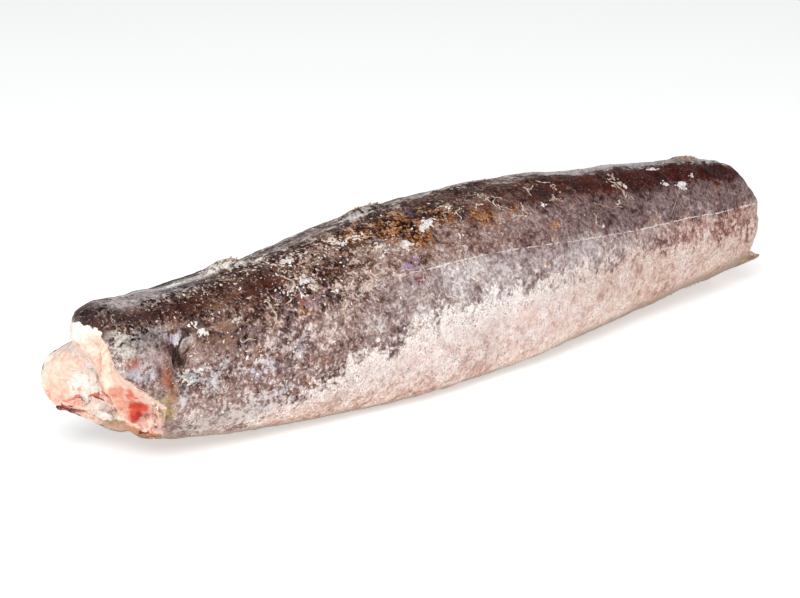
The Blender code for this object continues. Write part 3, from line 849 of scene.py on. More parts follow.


# Skin of a frozen hake: a dark scaly back, a lilac flank and a white belly under thin frost. It is
# damp in places and freezer-dried in others, so its gloss is broken up and its colour crumbles.
# A grazing sheen along the top of the back and shade along the underside are painted into its
# colour.
frozenSkin = {
    # size in mm, detail and roughness of the noise patterns
    "patterns": {
        "large": (26, 3, 0.6),
        "patch": (9, 3, 0.6),
        "hue": (6.5, 3, 0.6),
        "middle": (3.0, 3, 0.62),
        "grain": (0.95, 2, 0.6),
        "speck": (0.6, 1, 0.5),
        "darkCrease": (2.6, 2, 0.6),
        "paleCrease": (3.1, 2, 0.6),
    },
    # size along the fish and round it of streaks down the flank and frost lines along the back
    "stretched": {"streak": (1.4, 5.0), "lines": (16.0, 1.3)},
    "stretchedTurn": 0.1,  # radians
    "crumb": 1.35,  # dried slime and scale crumbs, drawn a little coarser than the real 1 mm
    "drift": {"broad": (6.0, 1.6, 1.0), "fine": (1.1, 0.8, 2.0)},  # size, reach and detail
    "scalePitch": 2.5,
    "scaleShape": (0.75, 1.3, 1.0),
    "scaleTurn": 0.5,  # radians
    # ice along the top of the back, with a painted grazing sheen on it: x, how far it reaches down
    # the far side and the near side
    "glaze": (
        (-152, -16, 10), (-90, -17, 9), (-30, -16, 7), (30, -15, 7), (70, -14, 9), (110, -13, 9.5),
        (150, -11, 9),
    ),
    "iceAndSheenEdge": 8.0,
    # edges and tones: a start, how strongly each pattern moves it, and the soft step after it:
    # from, to, and the values there when they aren't 0 and 1
    "edges": {
        "tone": (0.0, {
            "crumbTone": 0.3, "grain": 0.8, "middle": 1.0, "patch": 1.1, "large": 0.7, "streak": 0.5,
        }),
        "film": (0.5, {"lines": 1.5, "linesWide": 1.5, "middle": 1.1, "grain": 0.9}),
        "wornScales": (0.5, {"crumbTone": 0.35, "grain": 0.8, "middle": 1.3, "hue": 0.8}),
        "fleshLight": (0.96, {"grain": 0.3, "middle": 0.3}),
        "underDrop": (0.0, {"patch": 7.0, "middle": 3.0}),
        "thread": (0.0, {"middle": 1.3, "grain": 0.5}),
        "lilac": (0.0, {"patch": 9.0, "streakWide": 9.0, "crumbHue": 3.0}, (-2.5, 2.5)),
        "fromHead": (
            0.0, {"large": 60.0, "patch": 50.0, "crumbHue": 20.0}, (-80.0, -20.0, 0.15, 1.0),
        ),
        "back": (
            0.0, {"middle": 1.3, "patch": 1.3, "large": 0.7, "crumbHue": 0.25},
            (0.72, 1.25, 1.0, 0.0),
        ),
        "redFlush": (0.5, {"patch": 2.4, "middle": 1.6, "crumbHue": 0.5}, (0.66, 1.01, 0.0, 0.55)),
        "ochreFlush": (0.5, {"hue": 2.6, "middle": -1.4, "crumbHue": -0.5}, (0.7, 1.05, 0.0, 0.5)),
        "violetFlush": (0.5, {"hue": -2.4, "patch": -1.2, "crumbHue": 0.6}, (0.72, 1.07, 0.0, 0.3)),
        "worn": (0.0, {"middle": 2.2, "patch": 1.9, "grain": 0.7}, (0.35, 0.6, 0.0, 0.9)),
        "crack": (0.0, {"middle": 0.5, "grain": 0.45, "hue": 0.4}, (0.03, 0.13, 0.85, 0.0)),
        "pink": (0.5, {"large": 2.0, "grain": 1.2, "crumbHue": 0.3}, (0.6, 1.0, 0.0, 0.5)),
        "bright": (0.0, {"patch": 14.0, "middle": 14.0, "grain": 8.0}, (2.0, 15.0, 1.0, 0.0)),
        "white": (0.0, {
            "streakWide": 18.0, "streak": 6.0, "middle": 16.0, "patch": 18.0, "crumbTone": 7.0,
        }, (-4.0, 3.5)),
        "marks": (0.5, {"speck": 0.9, "streak": 0.5, "patch": 0.5}, (0.55, 0.67, 0.0, 0.55)),
        "glaze": (
            -0.2, {"lines": 1.0, "linesWide": 1.4, "middle": 1.4, "patch": 1.8, "grain": 0.8},
            (0.2, 0.85, 0.0, 0.85),
        ),
        "stain": (0.0, {"middle": 2.2, "grain": 1.4, "crumbTone": 0.4}, (0.38, 0.66)),
        "creased": (0.5, {"hue": 1.8, "grain": 2.4}, (0.4, 0.8)),
        "brokenThread": (0.5, {"hue": 2.4, "grain": 1.2}, (0.35, 0.75, 0.0, 0.7)),
        "frost": (0.12, {"grain": 1.3, "middle": 1.5, "crumbTone": 0.35}, (0.58, 0.74, 0.0, 0.9)),
        "rim": (0.0, {"middle": 4.0}, (-0.3, 0.4)),
    },
    # soft steps of one measure: which one, from, to, and the values there
    "steps": {
        "contrast": ("x", -70.0, 60.0, 1.15, 0.9),
        # the pale ice and its painted sheen lighten towards the tail
        "paleFilm": ("x", 10.0, 90.0, 0.0, 0.3),
        "tailTones": ("x", -20.0, 60.0),
        "tailLowTones": ("x", 60.0, 120.0),
        "cleanTail": ("x", -30.0, 50.0, 1.0, 0.25),
        "ochreOnBack": ("back", 0.6, 1.9, 1.0, 0.2),
        "cracksOnBack": ("back", 0.5, 1.5, 0.6, 0.0),
        "fewerCracks": ("x", -20.0, 60.0, 1.0, 0.25),
        "brightMiddle": ("x", -80.0, 0.0, 0.3, 0.65),
        "dullTail": ("x", -20.0, 60.0, 1.0, 0.25),
        # the tan and the painted shade of the underside reach higher towards the tail
        "tanRises": ("x", 10.0, 45.0, 0.0, 3.2),
        "tanTail": ("x", 0.0, 90.0, 0.0, 0.75),
        "marksThinOut": ("whiteDrop", -2.0, 24.0, 0.0, -0.07),
        # the ice and its painted sheen grow towards the tail
        "glazedTail": ("x", -20.0, 90.0, -0.1, 0.25),
        "glazeRim": ("glaze", 0.0, 0.35),
        "fewerCreases": ("x", -20.0, 70.0, 1.0, 0.3),
        "threadFades": ("x", -75.0, -15.0),
    },
    # where the tan, darkened as painted shade, and the painted shade of the underside fade in above
    # the underside's edge
    "tanAndShadeFade": (-20.0, -7.0),
    "undersideShadeFade": (-9.0, -2.0, 0.0, 0.85),
    "stainLight": (0.1, 0.95, 0.4, 1.7),
    # width of a wrinkle's core and of its soft edge, its strength and its colour
    "creases": {
        "darkCrease": (0.006, 0.035, 0.6, "crack"),
        "paleCrease": (0.006, 0.028, 0.5, "frost"),
    },
    "threadWidth": (0.1, 0.4),
    # five tones from dark to light for each part of the skin
    "tonePlaces": (0.08, 0.3, 0.5, 0.7, 0.92),
    "tones": {
        "headBack": ("#170604", "#371811", "#57352a", "#7f6356", "#cfc0b6"),
        "tailBack": ("#0d0201", "#250803", "#40120b", "#5a261c", "#96746a"),
        "headFlank": ("#40221c", "#6f5047", "#8f7167", "#b0988f", "#e2d8d2"),
        "tailFlank": ("#3a2221", "#5f4544", "#7d6665", "#9e8c8b", "#d2c6c5"),
        "underLine": ("#6a5250", "#917c7a", "#af9f9e", "#cdc2c1", "#ece7e6"),
        "tailUnderLine": ("#5a2f26", "#8a5d53", "#b69288", "#dcc5bc", "#f7ece6"),
        "whiteBelly": ("#b19085", "#caafa5", "#dbc8c1", "#e8dbd7", "#f6f0ee"),
        # tan of the belly and the tail, also used as painted shade towards the lower edge
        "tanBelly": ("#97705f", "#c09a8a", "#d8baac", "#e9d5ca", "#f6eee8"),
        "wornScales": ("#1d0b05", "#5c2c10", "#9a5a28", "#b98150", "#dcc0a0"),
        # pale ice along the top of the back, which also stands for a painted sheen
        "film": ("#584440", "#83716d", "#a0928e", "#bfb5b2", "#e3dfdf"),
        "finScrap": ("#3a2012", "#70492a", "#966d45", "#b8926c", "#dcc4a8"),
    },
    # painted shade along the underside, where it faces the table
    "undersideShade": "#937d6c",
    "redFlush": "#64261b",
    "ochreFlush": "#9c7552",
    "violetFlush": "#958995",
    "pinkFlush": "#e9b9ad",
    "brightBelly": "#fcf8f5",
    "marks": "#84554a",
    "crack": "#1c0c08",
    "frost": "#e4dcd7",
    "lateralLine": "#efe6e1",
    "roughness": (0.36, 0.62),
    "frostShare": 0.4,
    "frostRoughness": 0.25,
    "frostHeight": 0.6,
    "specular": 0.1,
    "bumpDepth": 0.45,
    "bumpStrength": 0.8,
}


def sumPatterns(tree, start, pairs):
    # start plus each pattern's swing about its middle, times its weight
    total = start - 0.5 * sum(weight for _, weight in pairs)
    for pattern, weight in pairs:
        total = addNode(tree, "multiplyAdd", pattern, weight, total)
    return total


def makeSkinMaterial():
    look = frozenSkin
    material, tree, shader = newMaterial("frozenHakeSkin")

    def node(kind, *values, **settings):
        return addNode(tree, kind, *values, **settings)

    def swing(name):
        start, weights = look["edges"][name][:2]
        return sumPatterns(tree, start, [(pattern[key], weight) for key, weight in weights.items()])

    def edge(name, base=None):
        value = swing(name) if base is None else node("add", swing(name), base)
        return node("ease", value, *look["edges"][name][2])

    body = node("mapping", node("coordinates"), (1000, 1000, 1000))  # in millimetres
    wrap = node("mapping", node("uvMap", uv_map="wrap"), (100, 100, 100))
    names = ("rim", "back", "lineDrop", "whiteDrop", "underDrop", "worn", "frost", "glaze", "scrap")
    field = {name: node("attribute", attribute_name=name) for name in names}
    field["x"] = node("splitPlace", body)
    flesh = node("attribute", output="Color", attribute_name="flesh")
    stain = node("attribute", output="Color", attribute_name="stain")
    stainShare = node("attribute", output="Alpha", attribute_name="stain")
    step = {name: node("ease", field[key], *span) for name, (key, *span) in look["steps"].items()}

    # broad and fine wandering keeps every pattern from looking drawn
    drift = []
    for size, reach, detail in look["drift"].values():
        centred = node("move", node("colourNoise", body, 1 / size, detail), (-0.5, -0.5, -0.5))
        drift.append(node("scale", centred, 2 * reach))
    wander = node("move", *drift)
    bodyWarp, wrapWarp = node("move", body, wander), node("move", wrap, wander)

    pattern = {}
    for name, (size, detail, roughness) in look["patterns"].items():
        pattern[name] = node("noise", body, 1 / size, detail, roughness)
    for name, (along, around) in look["stretched"].items():
        place = node("mapping", wrapWarp, (1 / along, 1 / around, 1), (0, 0, look["stretchedTurn"]))
        pattern[name] = node("noise", place, 1.0, 3.0)
        pattern[name + "Wide"] = node("noise", place, 0.3, 4.0)
    crumb = node("splitColour", node("cells", bodyWarp, 1 / look["crumb"]))
    pattern["crumbTone"], pattern["crumbHue"] = crumb.node.outputs[:2]

    # light and dark of the skin
    tone = node("multiplyAdd", swing("tone"), step["contrast"], 0.5)
    iceFilmAndSheenTone = node("add", swing("film"), step["paleFilm"])
    toneOf = {"film": iceFilmAndSheenTone, "wornScales": swing("wornScales")}
    tones = {
        name: node("ramp", toneOf.get(name, tone), stops=list(zip(look["tonePlaces"], colours)))
        for name, colours in look["tones"].items()
    }
    backTone = node("mix", step["tailTones"], tones["headBack"], tones["tailBack"])
    flankTone = node("mix", step["tailTones"], tones["headFlank"], tones["tailFlank"])
    lowTone = node("mix", step["tailLowTones"], tones["underLine"], tones["tailUnderLine"])

    # lilac below the lateral line, except towards the head, where the flank stays brown
    lilac = node("multiply", edge("lilac", field["lineDrop"]), edge("fromHead", field["x"]))
    colour = node("mix", lilac, flankTone, lowTone)

    # the dark back gives way to the flank about half way to the lateral line
    colour = node("mix", edge("back", field["back"]), colour, backTone)

    # blood, old slime and blue sheen stain single crumbs and patches, the last two less at the tail
    ochre = node("multiply", edge("ochreFlush"), step["ochreOnBack"])
    colour = node("mix", edge("redFlush"), colour, look["redFlush"])
    colour = node("mix", node("multiply", ochre, step["cleanTail"]), colour, look["ochreFlush"])
    violet = node("multiply", edge("violetFlush"), step["cleanTail"])
    colour = node("mix", violet, colour, look["violetFlush"])

    # skin worn down to the orange-brown pockets of the scales; their dark edges show along the back
    scales = node("mapping", wrapWarp, look["scaleShape"], (0, 0, look["scaleTurn"]))
    pocket = node("cellEdge", scales, 1 / look["scalePitch"], 0.9)
    worn = edge("worn", field["worn"])
    colour = node("mix", worn, colour, tones["wornScales"])
    crackReach = node("multiply", node("add", step["cracksOnBack"], worn), step["fewerCracks"])
    crack = node("multiply", edge("crack", pocket), crackReach, use_clamp=True)
    colour = node("mix", crack, colour, look["crack"])

    # white belly with a crumbling upper edge, pink in patches, and tan where it turns under, the tan
    # darkened as painted shade towards the lower edge
    belly = node("mix", edge("pink"), tones["whiteBelly"], look["pinkFlush"])
    bright = node("multiply", step["brightMiddle"], step["dullTail"])
    bright = node("multiply", edge("bright", field["whiteDrop"]), bright)
    belly = node("mix", bright, belly, look["brightBelly"])
    underDrop = node("add", swing("underDrop"), field["underDrop"])
    underDrop = node("add", step["tanRises"], underDrop)
    tanAndShade = node("maximum", node("ease", underDrop, *look["tanAndShadeFade"]), step["tanTail"])
    belly = node("mix", tanAndShade, belly, tones["tanBelly"])
    white = edge("white", field["whiteDrop"])
    colour = node("mix", white, colour, belly)
    # painted shade along the underside, darkest from just above its edge
    colour = node("mix", node("ease", underDrop, *look["undersideShadeFade"]), colour, look["undersideShade"])

    # fine dark marks that thin out down the belly
    marks = node("multiply", edge("marks", step["marksThinOut"]), white)
    colour = node("mix", marks, colour, look["marks"])

    # ice along the top of the back, in lines, with the painted grazing sheen of the top edge
    glaze = edge("glaze", node("add", step["glazedTail"], field["glaze"]))
    colour = node("mix", node("multiply", glaze, step["glazeRim"]), colour, tones["film"])

    # stains with ragged edges
    stain = node("scale", stain, node("ease", tone, *look["stainLight"]))
    colour = node("mix", edge("stain", stainShare), colour, stain)

    # fine wrinkles, some dark with shadow and some pale with frost
    for name, (core, width, strength, tint) in look["creases"].items():
        crease = node("absolute", node("subtract", pattern[name], 0.5))
        crease = node("ease", crease, core, width, strength, 0.0)
        crease = node("multiply", node("multiply", crease, edge("creased")), step["fewerCreases"])
        colour = node("mix", crease, colour, look[tint])

    # the lateral line, a thin pale thread that fades towards the head
    thread = node("absolute", node("add", swing("thread"), field["lineDrop"]))
    thread = node("ease", thread, *look["threadWidth"], 1.0, 0.0)
    thread = node("multiply", node("multiply", thread, edge("brokenThread")), step["threadFades"])
    colour = node("mix", thread, colour, look["lateralLine"])

    # crumbs of frost, the scrap of the anal fin, and flesh past the rim of the skin
    frost = edge("frost", node("multiply", field["frost"], look["frostShare"]))
    colour = node("mix", frost, colour, look["frost"])
    colour = node("mix", field["scrap"], colour, tones["finScrap"])
    flesh = node("scale", flesh, swing("fleshLight"))
    colour = node("mix", edge("rim", field["rim"]), flesh, colour)

    rough = node("ease", pattern["middle"], 0.35, 0.65, *look["roughness"])
    height = node("multiplyAdd", frost, look["frostHeight"], tone)
    feed(shader, {
        "Base Color": colour,
        "Roughness": node("multiplyAdd", frost, look["frostRoughness"], rough),
        "Normal": node("bump", height, look["bumpDepth"] * mm, look["bumpStrength"]),
        "Specular IOR Level": look["specular"],
    })
    return material


# what the materials of the small pieces share
tissue = {"tonePlaces": (0.15, 0.5, 0.85), "toneWeights": (1.6, 1.2), "bumpStrength": 0.7}


def makeTissue(look):
    # a small piece's material: patchy colour, broken gloss and a fine grain
    material, tree, shader = newMaterial(look["name"])
    inPlace = addNode(tree, "coordinates")
    grains = [addNode(tree, "noise", inPlace, 1 / (size * mm), 3.0, 0.6) for size in look["grain"]]
    tone = sumPatterns(tree, 0.5, list(zip(grains, tissue["toneWeights"])))
    colours = list(zip(tissue["tonePlaces"], look["colours"]))
    feed(shader, {
        "Base Color": addNode(tree, "ramp", tone, stops=colours),
        "Roughness": addNode(tree, "straight", grains[1], 0.35, 0.65, *look["roughness"]),
        "Normal": addNode(tree, "bump", tone, look["bump"] * mm, tissue["bumpStrength"]),
        "Specular IOR Level": look["specular"],
    })
    return material


body = makeBody(makeSkinMaterial())
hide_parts("hake")
bodyTree = BVHTree.FromPolygons(
    [vertex.co / mm for vertex in body.data.vertices],
    [face.vertices[:] for face in body.data.polygons],
)
print("body:", len(body.data.polygons), "faces")


skinReach = (-160.0, 157.0)


def skinAt(x, signedArc):
    # point and normal of the finished skin, by place along the fish and arc from the back's midline
    x = min(max(x, skinReach[0]), skinReach[1])
    point = None
    while point is None:
        arcs = skinArcs[int(round((x - gridX[0]) / gridStep))]
        turn = np.interp(signedArc % arcs[-1], arcs, gridTurn)
        y, z, middle, _ = outline(x, math.radians(skinMap["backAngle"] + turn))
        outward = Vector((0, y, z - middle)).normalized()
        start = Vector((x, y, z)) + hakeForm["shift"] + outward * 15
        point, normal = bodyTree.ray_cast(start, -outward, 25)[:2]
        x *= 0.97  # past a cut, it moves in
    return point, normal


def cutAt(y, z):
    # point and normal on the head cut
    return bodyTree.ray_cast(Vector((-200, y, z)), Vector((1, 0, 0)))[:2]


def joinShape(shape, extra):
    mesh = bpy.data.meshes.new("extra")
    extra.to_mesh(mesh)
    extra.free()
    shape.from_mesh(mesh)
    bpy.data.meshes.remove(mesh)


def addTube(shape, path, radii, ups, flat=1.0, sides=6):
    # a closed tapering strand through the points of the path
    tube = bmesh.new()
    last = len(path) - 1
    bmesh.ops.create_uvsphere(tube, u_segments=sides, v_segments=last, radius=1.0)
    for vertex in tube.verts:
        ring = round(math.acos(max(-1.0, min(1.0, vertex.co.z))) / math.pi * last)
        turn = math.atan2(vertex.co.y, vertex.co.x)
        if ring in (0, last):
            vertex.co = path[ring]
            continue
        side = (path[ring + 1] - path[ring - 1]).cross(ups[ring]).normalized()
        reach = side * math.cos(turn) + flat * ups[ring] * math.sin(turn)
        vertex.co = path[ring] + radii[ring] * reach
    joinShape(shape, tube)


def addLumps(shape, spots, seed, faces=1):
    # irregular lumps: point, normal, length, width, height and turn about the normal
    rng = random.Random(seed)
    ball = bmesh.new()
    bmesh.ops.create_icosphere(ball, subdivisions=faces, radius=1.0)
    for point, normal, length, width, height, turn in spots:
        guide = Vector((0, 1, 0)) if abs(normal.x) > 0.6 else Vector((1, 0, 0))
        along = (guide - normal * guide.dot(normal)).normalized()
        along.rotate(Matrix.Rotation(turn, 3, normal))
        across = normal.cross(along)
        lump = ball.copy()
        for vertex in lump.verts:
            x, y, z = vertex.co
            reach = along * x * length + across * y * width + normal * z * height
            vertex.co = point + reach * rng.uniform(0.55, 1.45)
        joinShape(shape, lump)
    ball.free()


# Frost crumbs stand on the skin in clusters. They are packed snow: white, dull and sharp-edged.
frostCrumbs = {
    "count": 900,
    "size": (0.14, 0.4),
    "scatter": (0.8, 0.7),  # along and across, as shares of the frost patch's reach
    "lengths": (1.0, 2.4),  # times the width
    "heights": (0.35, 0.6),
    # x, angle, how many, spread and size of the bigger clusters
    "clusters": (
        (-92, 86, 7, 2.2, 0.8), (-84, 90, 8, 2.2, 0.9), (-79, 103, 9, 2.5, 1.0),
        (-72, 102, 7, 2.0, 0.8), (-79, 123, 9, 2.2, 0.9), (-76, 130, 8, 1.8, 0.9),
        (-87, 126, 5, 1.5, 0.7), (-58, 100, 6, 2.0, 0.8), (-55, 108, 6, 1.8, 0.8),
        (-50, 108, 5, 1.8, 0.7), (-44, 119, 7, 1.8, 0.8), (-43, 125, 6, 1.5, 0.7),
        (-34, 125, 9, 1.8, 1.0), (-22.5, 116, 9, 2.0, 1.0), (-19, 115, 7, 1.8, 0.9),
        (-6, 106, 6, 2.2, 0.7), (8.5, 112, 4, 1.5, 0.6), (-10.5, 130, 4, 1.5, 0.6),
        (-125, 134, 4, 1.5, 0.6), (-122, 141, 5, 1.5, 0.7), (-109.5, 137, 4, 1.0, 0.7),
        (-105, 167, 6, 1.6, 0.7), (-131, 171, 4, 1.4, 0.6), (-129, 142, 3, 1.2, 0.5),
        (-88, 60, 9, 2.4, 0.9), (-70, 45, 7, 2.2, 0.8), (-40, 52, 8, 2.2, 0.9),
        (-15, 35, 6, 2.0, 0.8), (25, 58, 6, 2.0, 0.7), (-112, 22, 7, 2.2, 0.8),
        (60, 30, 4, 1.6, 0.6), (112, 48, 6, 1.8, 0.8),
    ),
    "clusterScatter": (0.6, 0.45),  # shares of the spread
    "clusterSizes": (0.3, 0.85),  # shares of the size
    "material": {
        "name": "frostCrumbs", "grain": (6.0, 0.8), "colours": ("#b09f90", "#dcd2c9", "#faf8f6"),
        "roughness": (0.55, 0.8), "bump": 0.12, "specular": 0.3,
    },
}


def makeFrost():
    look = frostCrumbs
    rng = random.Random(11)
    spots = []
    weights = [patch[4] * math.sqrt(patch[2] * patch[3]) for patch in frostPatches]
    for _ in range(look["count"]):
        middle, angle, reachX, reachArc, _ = rng.choices(frostPatches, weights)[0]
        x = middle + rng.gauss(0, look["scatter"][0]) * reachX
        arc = placeOnSkin(middle, angle) + rng.gauss(0, look["scatter"][1]) * reachArc
        spots.append((x, arc, rng.uniform(*look["size"])))
    alongScatter, acrossScatter = look["clusterScatter"]
    for middle, angle, count, spread, size in look["clusters"]:
        middleArc = placeOnSkin(middle, angle)
        for _ in range(count):
            x = middle + rng.gauss(0, alongScatter) * spread
            arc = middleArc + rng.gauss(0, acrossScatter) * spread
            spots.append((x, arc, size * rng.uniform(*look["clusterSizes"])))
    lumpList = []
    for x, arc, size in spots:
        length, height = size * rng.uniform(*look["lengths"]), size * rng.uniform(*look["heights"])
        lumpList.append((*skinAt(x, arc), length, size, height, rng.uniform(0, 2 * math.pi)))
    shape = bmesh.new()
    addLumps(shape, lumpList, 12)
    print("frost:", len(lumpList), "crumbs")
    return finishPiece("frostCrumbs", shape, makeTissue(look["material"]), smooth=False)


# Chips of pale dried skin and ice, where the dark back was scraped. They are half dry, so their
# pale edges catch the light in places and stay chalky in others.
paleChips = {
    # x, angle, length, width, turn in degrees
    "chips": (
        (112.6, 127, 2.2, 1.7, 20), (114.5, 125, 1.3, 0.9, 70), (104.7, 123, 1.6, 0.9, 10),
        (104.8, 101, 2.9, 0.8, 0), (121.5, 120, 1.1, 0.5, 20), (122.5, 117, 0.6, 0.4, 0),
        (35, 122, 1.3, 0.9, 30), (82, 119, 1.1, 0.8, 0), (-19, 114, 2.4, 1.1, 25),
        (-23.5, 117, 1.5, 0.9, 60), (-34, 124, 1.3, 1.9, 0), (-78, 103, 2.2, 1.2, 15),
        (-77, 124, 1.8, 1.0, 30), (60, 146, 1.0, 0.6, 0), (-123, 140, 1.6, 1.1, 50),
        (-92, 88, 2.6, 0.9, 10), (95, 60, 2.0, 1.4, 0), (40, 40, 1.6, 1.1, 40),
        (-25, 30, 2.2, 1.2, 80), (-60, 55, 2.0, 1.2, 10), (-95, 42, 2.4, 1.3, 30),
        (70, 12, 1.4, 0.9, 0),
    ),
    "thickness": 0.35,
    "fragments": 7,
    # the first fragment is the chip itself, and the others broke off it; shares of its size
    "chipSizes": (0.75, 0.95),
    "fragmentSizes": (0.15, 0.5),
    "scatter": 0.7,
    "turnScatter": 0.4,  # radians
    "material": {
        "name": "paleSkinChips", "grain": (1.6, 0.5), "colours": ("#a99ea0", "#ddd7d6", "#f6f3f1"),
        "roughness": (0.4, 0.7), "bump": 0.15, "specular": 0.3,
    },
}


def makeChips():
    look = paleChips
    shape = bmesh.new()
    lumpList = []
    rng = random.Random(17)
    for x, angle, length, width, turn in look["chips"]:
        arc = placeOnSkin(x, angle)
        for k in range(look["fragments"]):
            size = rng.uniform(*look["chipSizes" if k == 0 else "fragmentSizes"])
            away = 0.0 if k == 0 else look["scatter"]
            spot = skinAt(x + rng.gauss(0, away) * length, arc + rng.gauss(0, away) * width)
            around = math.radians(turn) + rng.gauss(0, look["turnScatter"])
            lumpList.append((*spot, length * size, width * size, look["thickness"], around))
    addLumps(shape, lumpList, 5, faces=2)
    print("chips:", len(lumpList))
    return finishPiece("paleChips", shape, makeTissue(look["material"]), smooth=False)


# Shreds of dried slime and skin: threads that branch and lie flat on the skin. Dry slime is matt
# and holds some dirt, so its tones run from brown to cream.
driedShreds = {
    # x, angle, heading in degrees off the tail, length, thickness, branches
    "shreds": (
        (20, 110, 200, 13, 0.32, 5), (12, 121, 100, 7, 0.28, 4), (17, 124, 20, 8, 0.26, 4),
        (26, 116, 130, 8, 0.24, 4), (14, 113, 60, 9, 0.24, 4), (48, 101, 100, 8, 0.3, 4),
        (80, 112, 60, 4, 0.4, 4), (42, 115, 60, 7, 0.26, 3), (33, 102, 20, 9, 0.26, 2),
        (81, 100, 110, 6, 0.34, 3), (77, 109, 80, 6, 0.34, 4), (79, 120, 60, 6, 0.3, 3),
        (75, 129, 120, 5, 0.26, 2), (-2, 111, 170, 10, 0.26, 2), (-25, 152, 100, 12, 0.24, 2),
        (-39, 170, 100, 8, 0.28, 1), (132, 175, 100, 7, 0.34, 1), (-69, 144, 40, 8, 0.3, 1),
        (-96, 128, 30, 14, 0.3, 2), (-38, 158, 10, 9, 0.24, 1), (-60, 130, 60, 11, 0.24, 2),
        (-85, 112, 10, 12, 0.28, 1), (-110, 150, 80, 9, 0.24, 1), (58, 135, 100, 8, 0.2, 1),
        (-20, 60, 10, 12, 0.36, 3), (30, 50, 80, 9, 0.36, 2), (-70, 35, 30, 12, 0.3, 2),
        (75, 58, 70, 7, 0.38, 2), (-110, 50, 10, 10, 0.3, 1), (110, 30, 120, 9, 0.28, 1),
        (0, 20, 100, 9, 0.26, 1), (-50, 10, 100, 8, 0.26, 1),
    ),
    # x, angle, heading, length, thickness
    "scratches": (
        (113, 125, 135, 19, 0.1), (60, 128, 15, 12, 0.08), (-98, 160, 30, 16, 0.1),
        (-62, 148, 70, 14, 0.1), (70, 40, 60, 16, 0.08), (-20, 20, 100, 14, 0.1),
    ),
    # length of a step, how it turns there in radians, and how high it lies
    "walk": {"shreds": (0.7, 0.42, 0.05), "scratches": (1.0, 0.03, 0.02)},
    "flatness": {"shreds": 0.55, "scratches": 0.6},
    "raggedness": {"shreds": (0.5, 1.7), "scratches": (0.4, 1.2)},  # times the thickness
    # branches: shares of the strand's length, radians off it, and shares of length and thickness
    "branchPlaces": (0.2, 0.8),
    "branchTurns": (0.6, 1.2),
    "branchLengths": (0.25, 0.45),
    "branchThickness": 0.7,
    "crumbs": 4.0,  # how many lie round a strand, for its length and thickness
    "crumbSizes": (0.5, 1.5),
    "crumbScatter": 0.8,
    "material": {
        "name": "driedShreds", "grain": (2.2, 0.5), "colours": ("#967e6a", "#c6b2a0", "#e8ddd1"),
        "roughness": (0.45, 0.7), "bump": 0.12, "specular": 0.3,
    },
}


def walkSkin(rng, x, arc, heading, length, step, wobble, lift):
    # a wandering path over the skin, and the skin's normals along it
    path, ups = [], []
    for _ in range(max(4, int(length / step))):
        point, normal = skinAt(x, arc)
        path.append(point + normal * lift)
        ups.append(normal)
        x += step * math.cos(heading)
        arc += step * math.sin(heading)
        heading += rng.gauss(0, wobble)
    return path, ups


def makeShreds():
    look = driedShreds
    rng = random.Random(23)
    shape = bmesh.new()
    crumbList = []
    for x, angle, heading, length, thickness, branches in look["shreds"]:
        arc, turn = placeOnSkin(x, angle), math.radians(heading)
        strands = [(x, arc, turn, length, thickness)]
        for _ in range(branches):
            along = rng.uniform(*look["branchPlaces"]) * length
            branchTurn = turn + rng.choice((-1, 1)) * rng.uniform(*look["branchTurns"])
            place = x + along * math.cos(turn), arc + along * math.sin(turn)
            branchLength = length * rng.uniform(*look["branchLengths"])
            strands.append((*place, branchTurn, branchLength, thickness * look["branchThickness"]))
        for x, arc, turn, length, thickness in strands:
            path, ups = walkSkin(rng, x, arc, turn, length, *look["walk"]["shreds"])
            last = len(path) - 1
            swell = [0.4 + 0.6 * math.sin(math.pi * k / last) for k in range(last + 1)]
            ragged = look["raggedness"]["shreds"]
            radii = [thickness * share * rng.uniform(*ragged) for share in swell]
            addTube(shape, path, radii, ups, flat=look["flatness"]["shreds"])
            for _ in range(int(length * look["crumbs"] * thickness)):
                along = rng.uniform(0, 0.8) * length
                crumbX = x + along * math.cos(turn) + rng.gauss(0, look["crumbScatter"])
                crumbArc = arc + along * math.sin(turn) + rng.gauss(0, look["crumbScatter"])
                size = thickness * rng.uniform(*look["crumbSizes"])
                sizes = size * 1.4, size, size * 0.5
                crumbList.append((*skinAt(crumbX, crumbArc), *sizes, rng.uniform(0, 6.3)))
    addLumps(shape, crumbList, 29)
    for x, angle, heading, length, thickness in look["scratches"]:
        start = x, placeOnSkin(x, angle), math.radians(heading)
        path, ups = walkSkin(rng, *start, length, *look["walk"]["scratches"])
        radii = [thickness * rng.uniform(*look["raggedness"]["scratches"]) for _ in path]
        addTube(shape, path, radii, ups, flat=look["flatness"]["scratches"], sides=5)
    print("shreds:", len(look["shreds"]), "and crumbs:", len(crumbList))
    return finishPiece("driedShreds", shape, makeTissue(look["material"]))


# The lateral line is a row of thin pale scales that shows in dashes. They are damp, so they gleam a
# little more than the frost.
lateralLine = {
    "reach": (-42.0, 152.0),
    "dash": (2.0, 8.0),
    "gap": (0.5, 5.0),
    "step": 0.8,
    "waver": 0.12,
    "thickness": 0.2,
    "raggedness": (0.6, 1.2),  # times the thickness
    "material": {
        "name": "lateralLineScales", "grain": (2.0, 0.5),
        "colours": ("#b3a39b", "#ddd2cb", "#f1ebe6"),
        "roughness": (0.4, 0.65), "bump": 0.1, "specular": 0.3,
    },
}


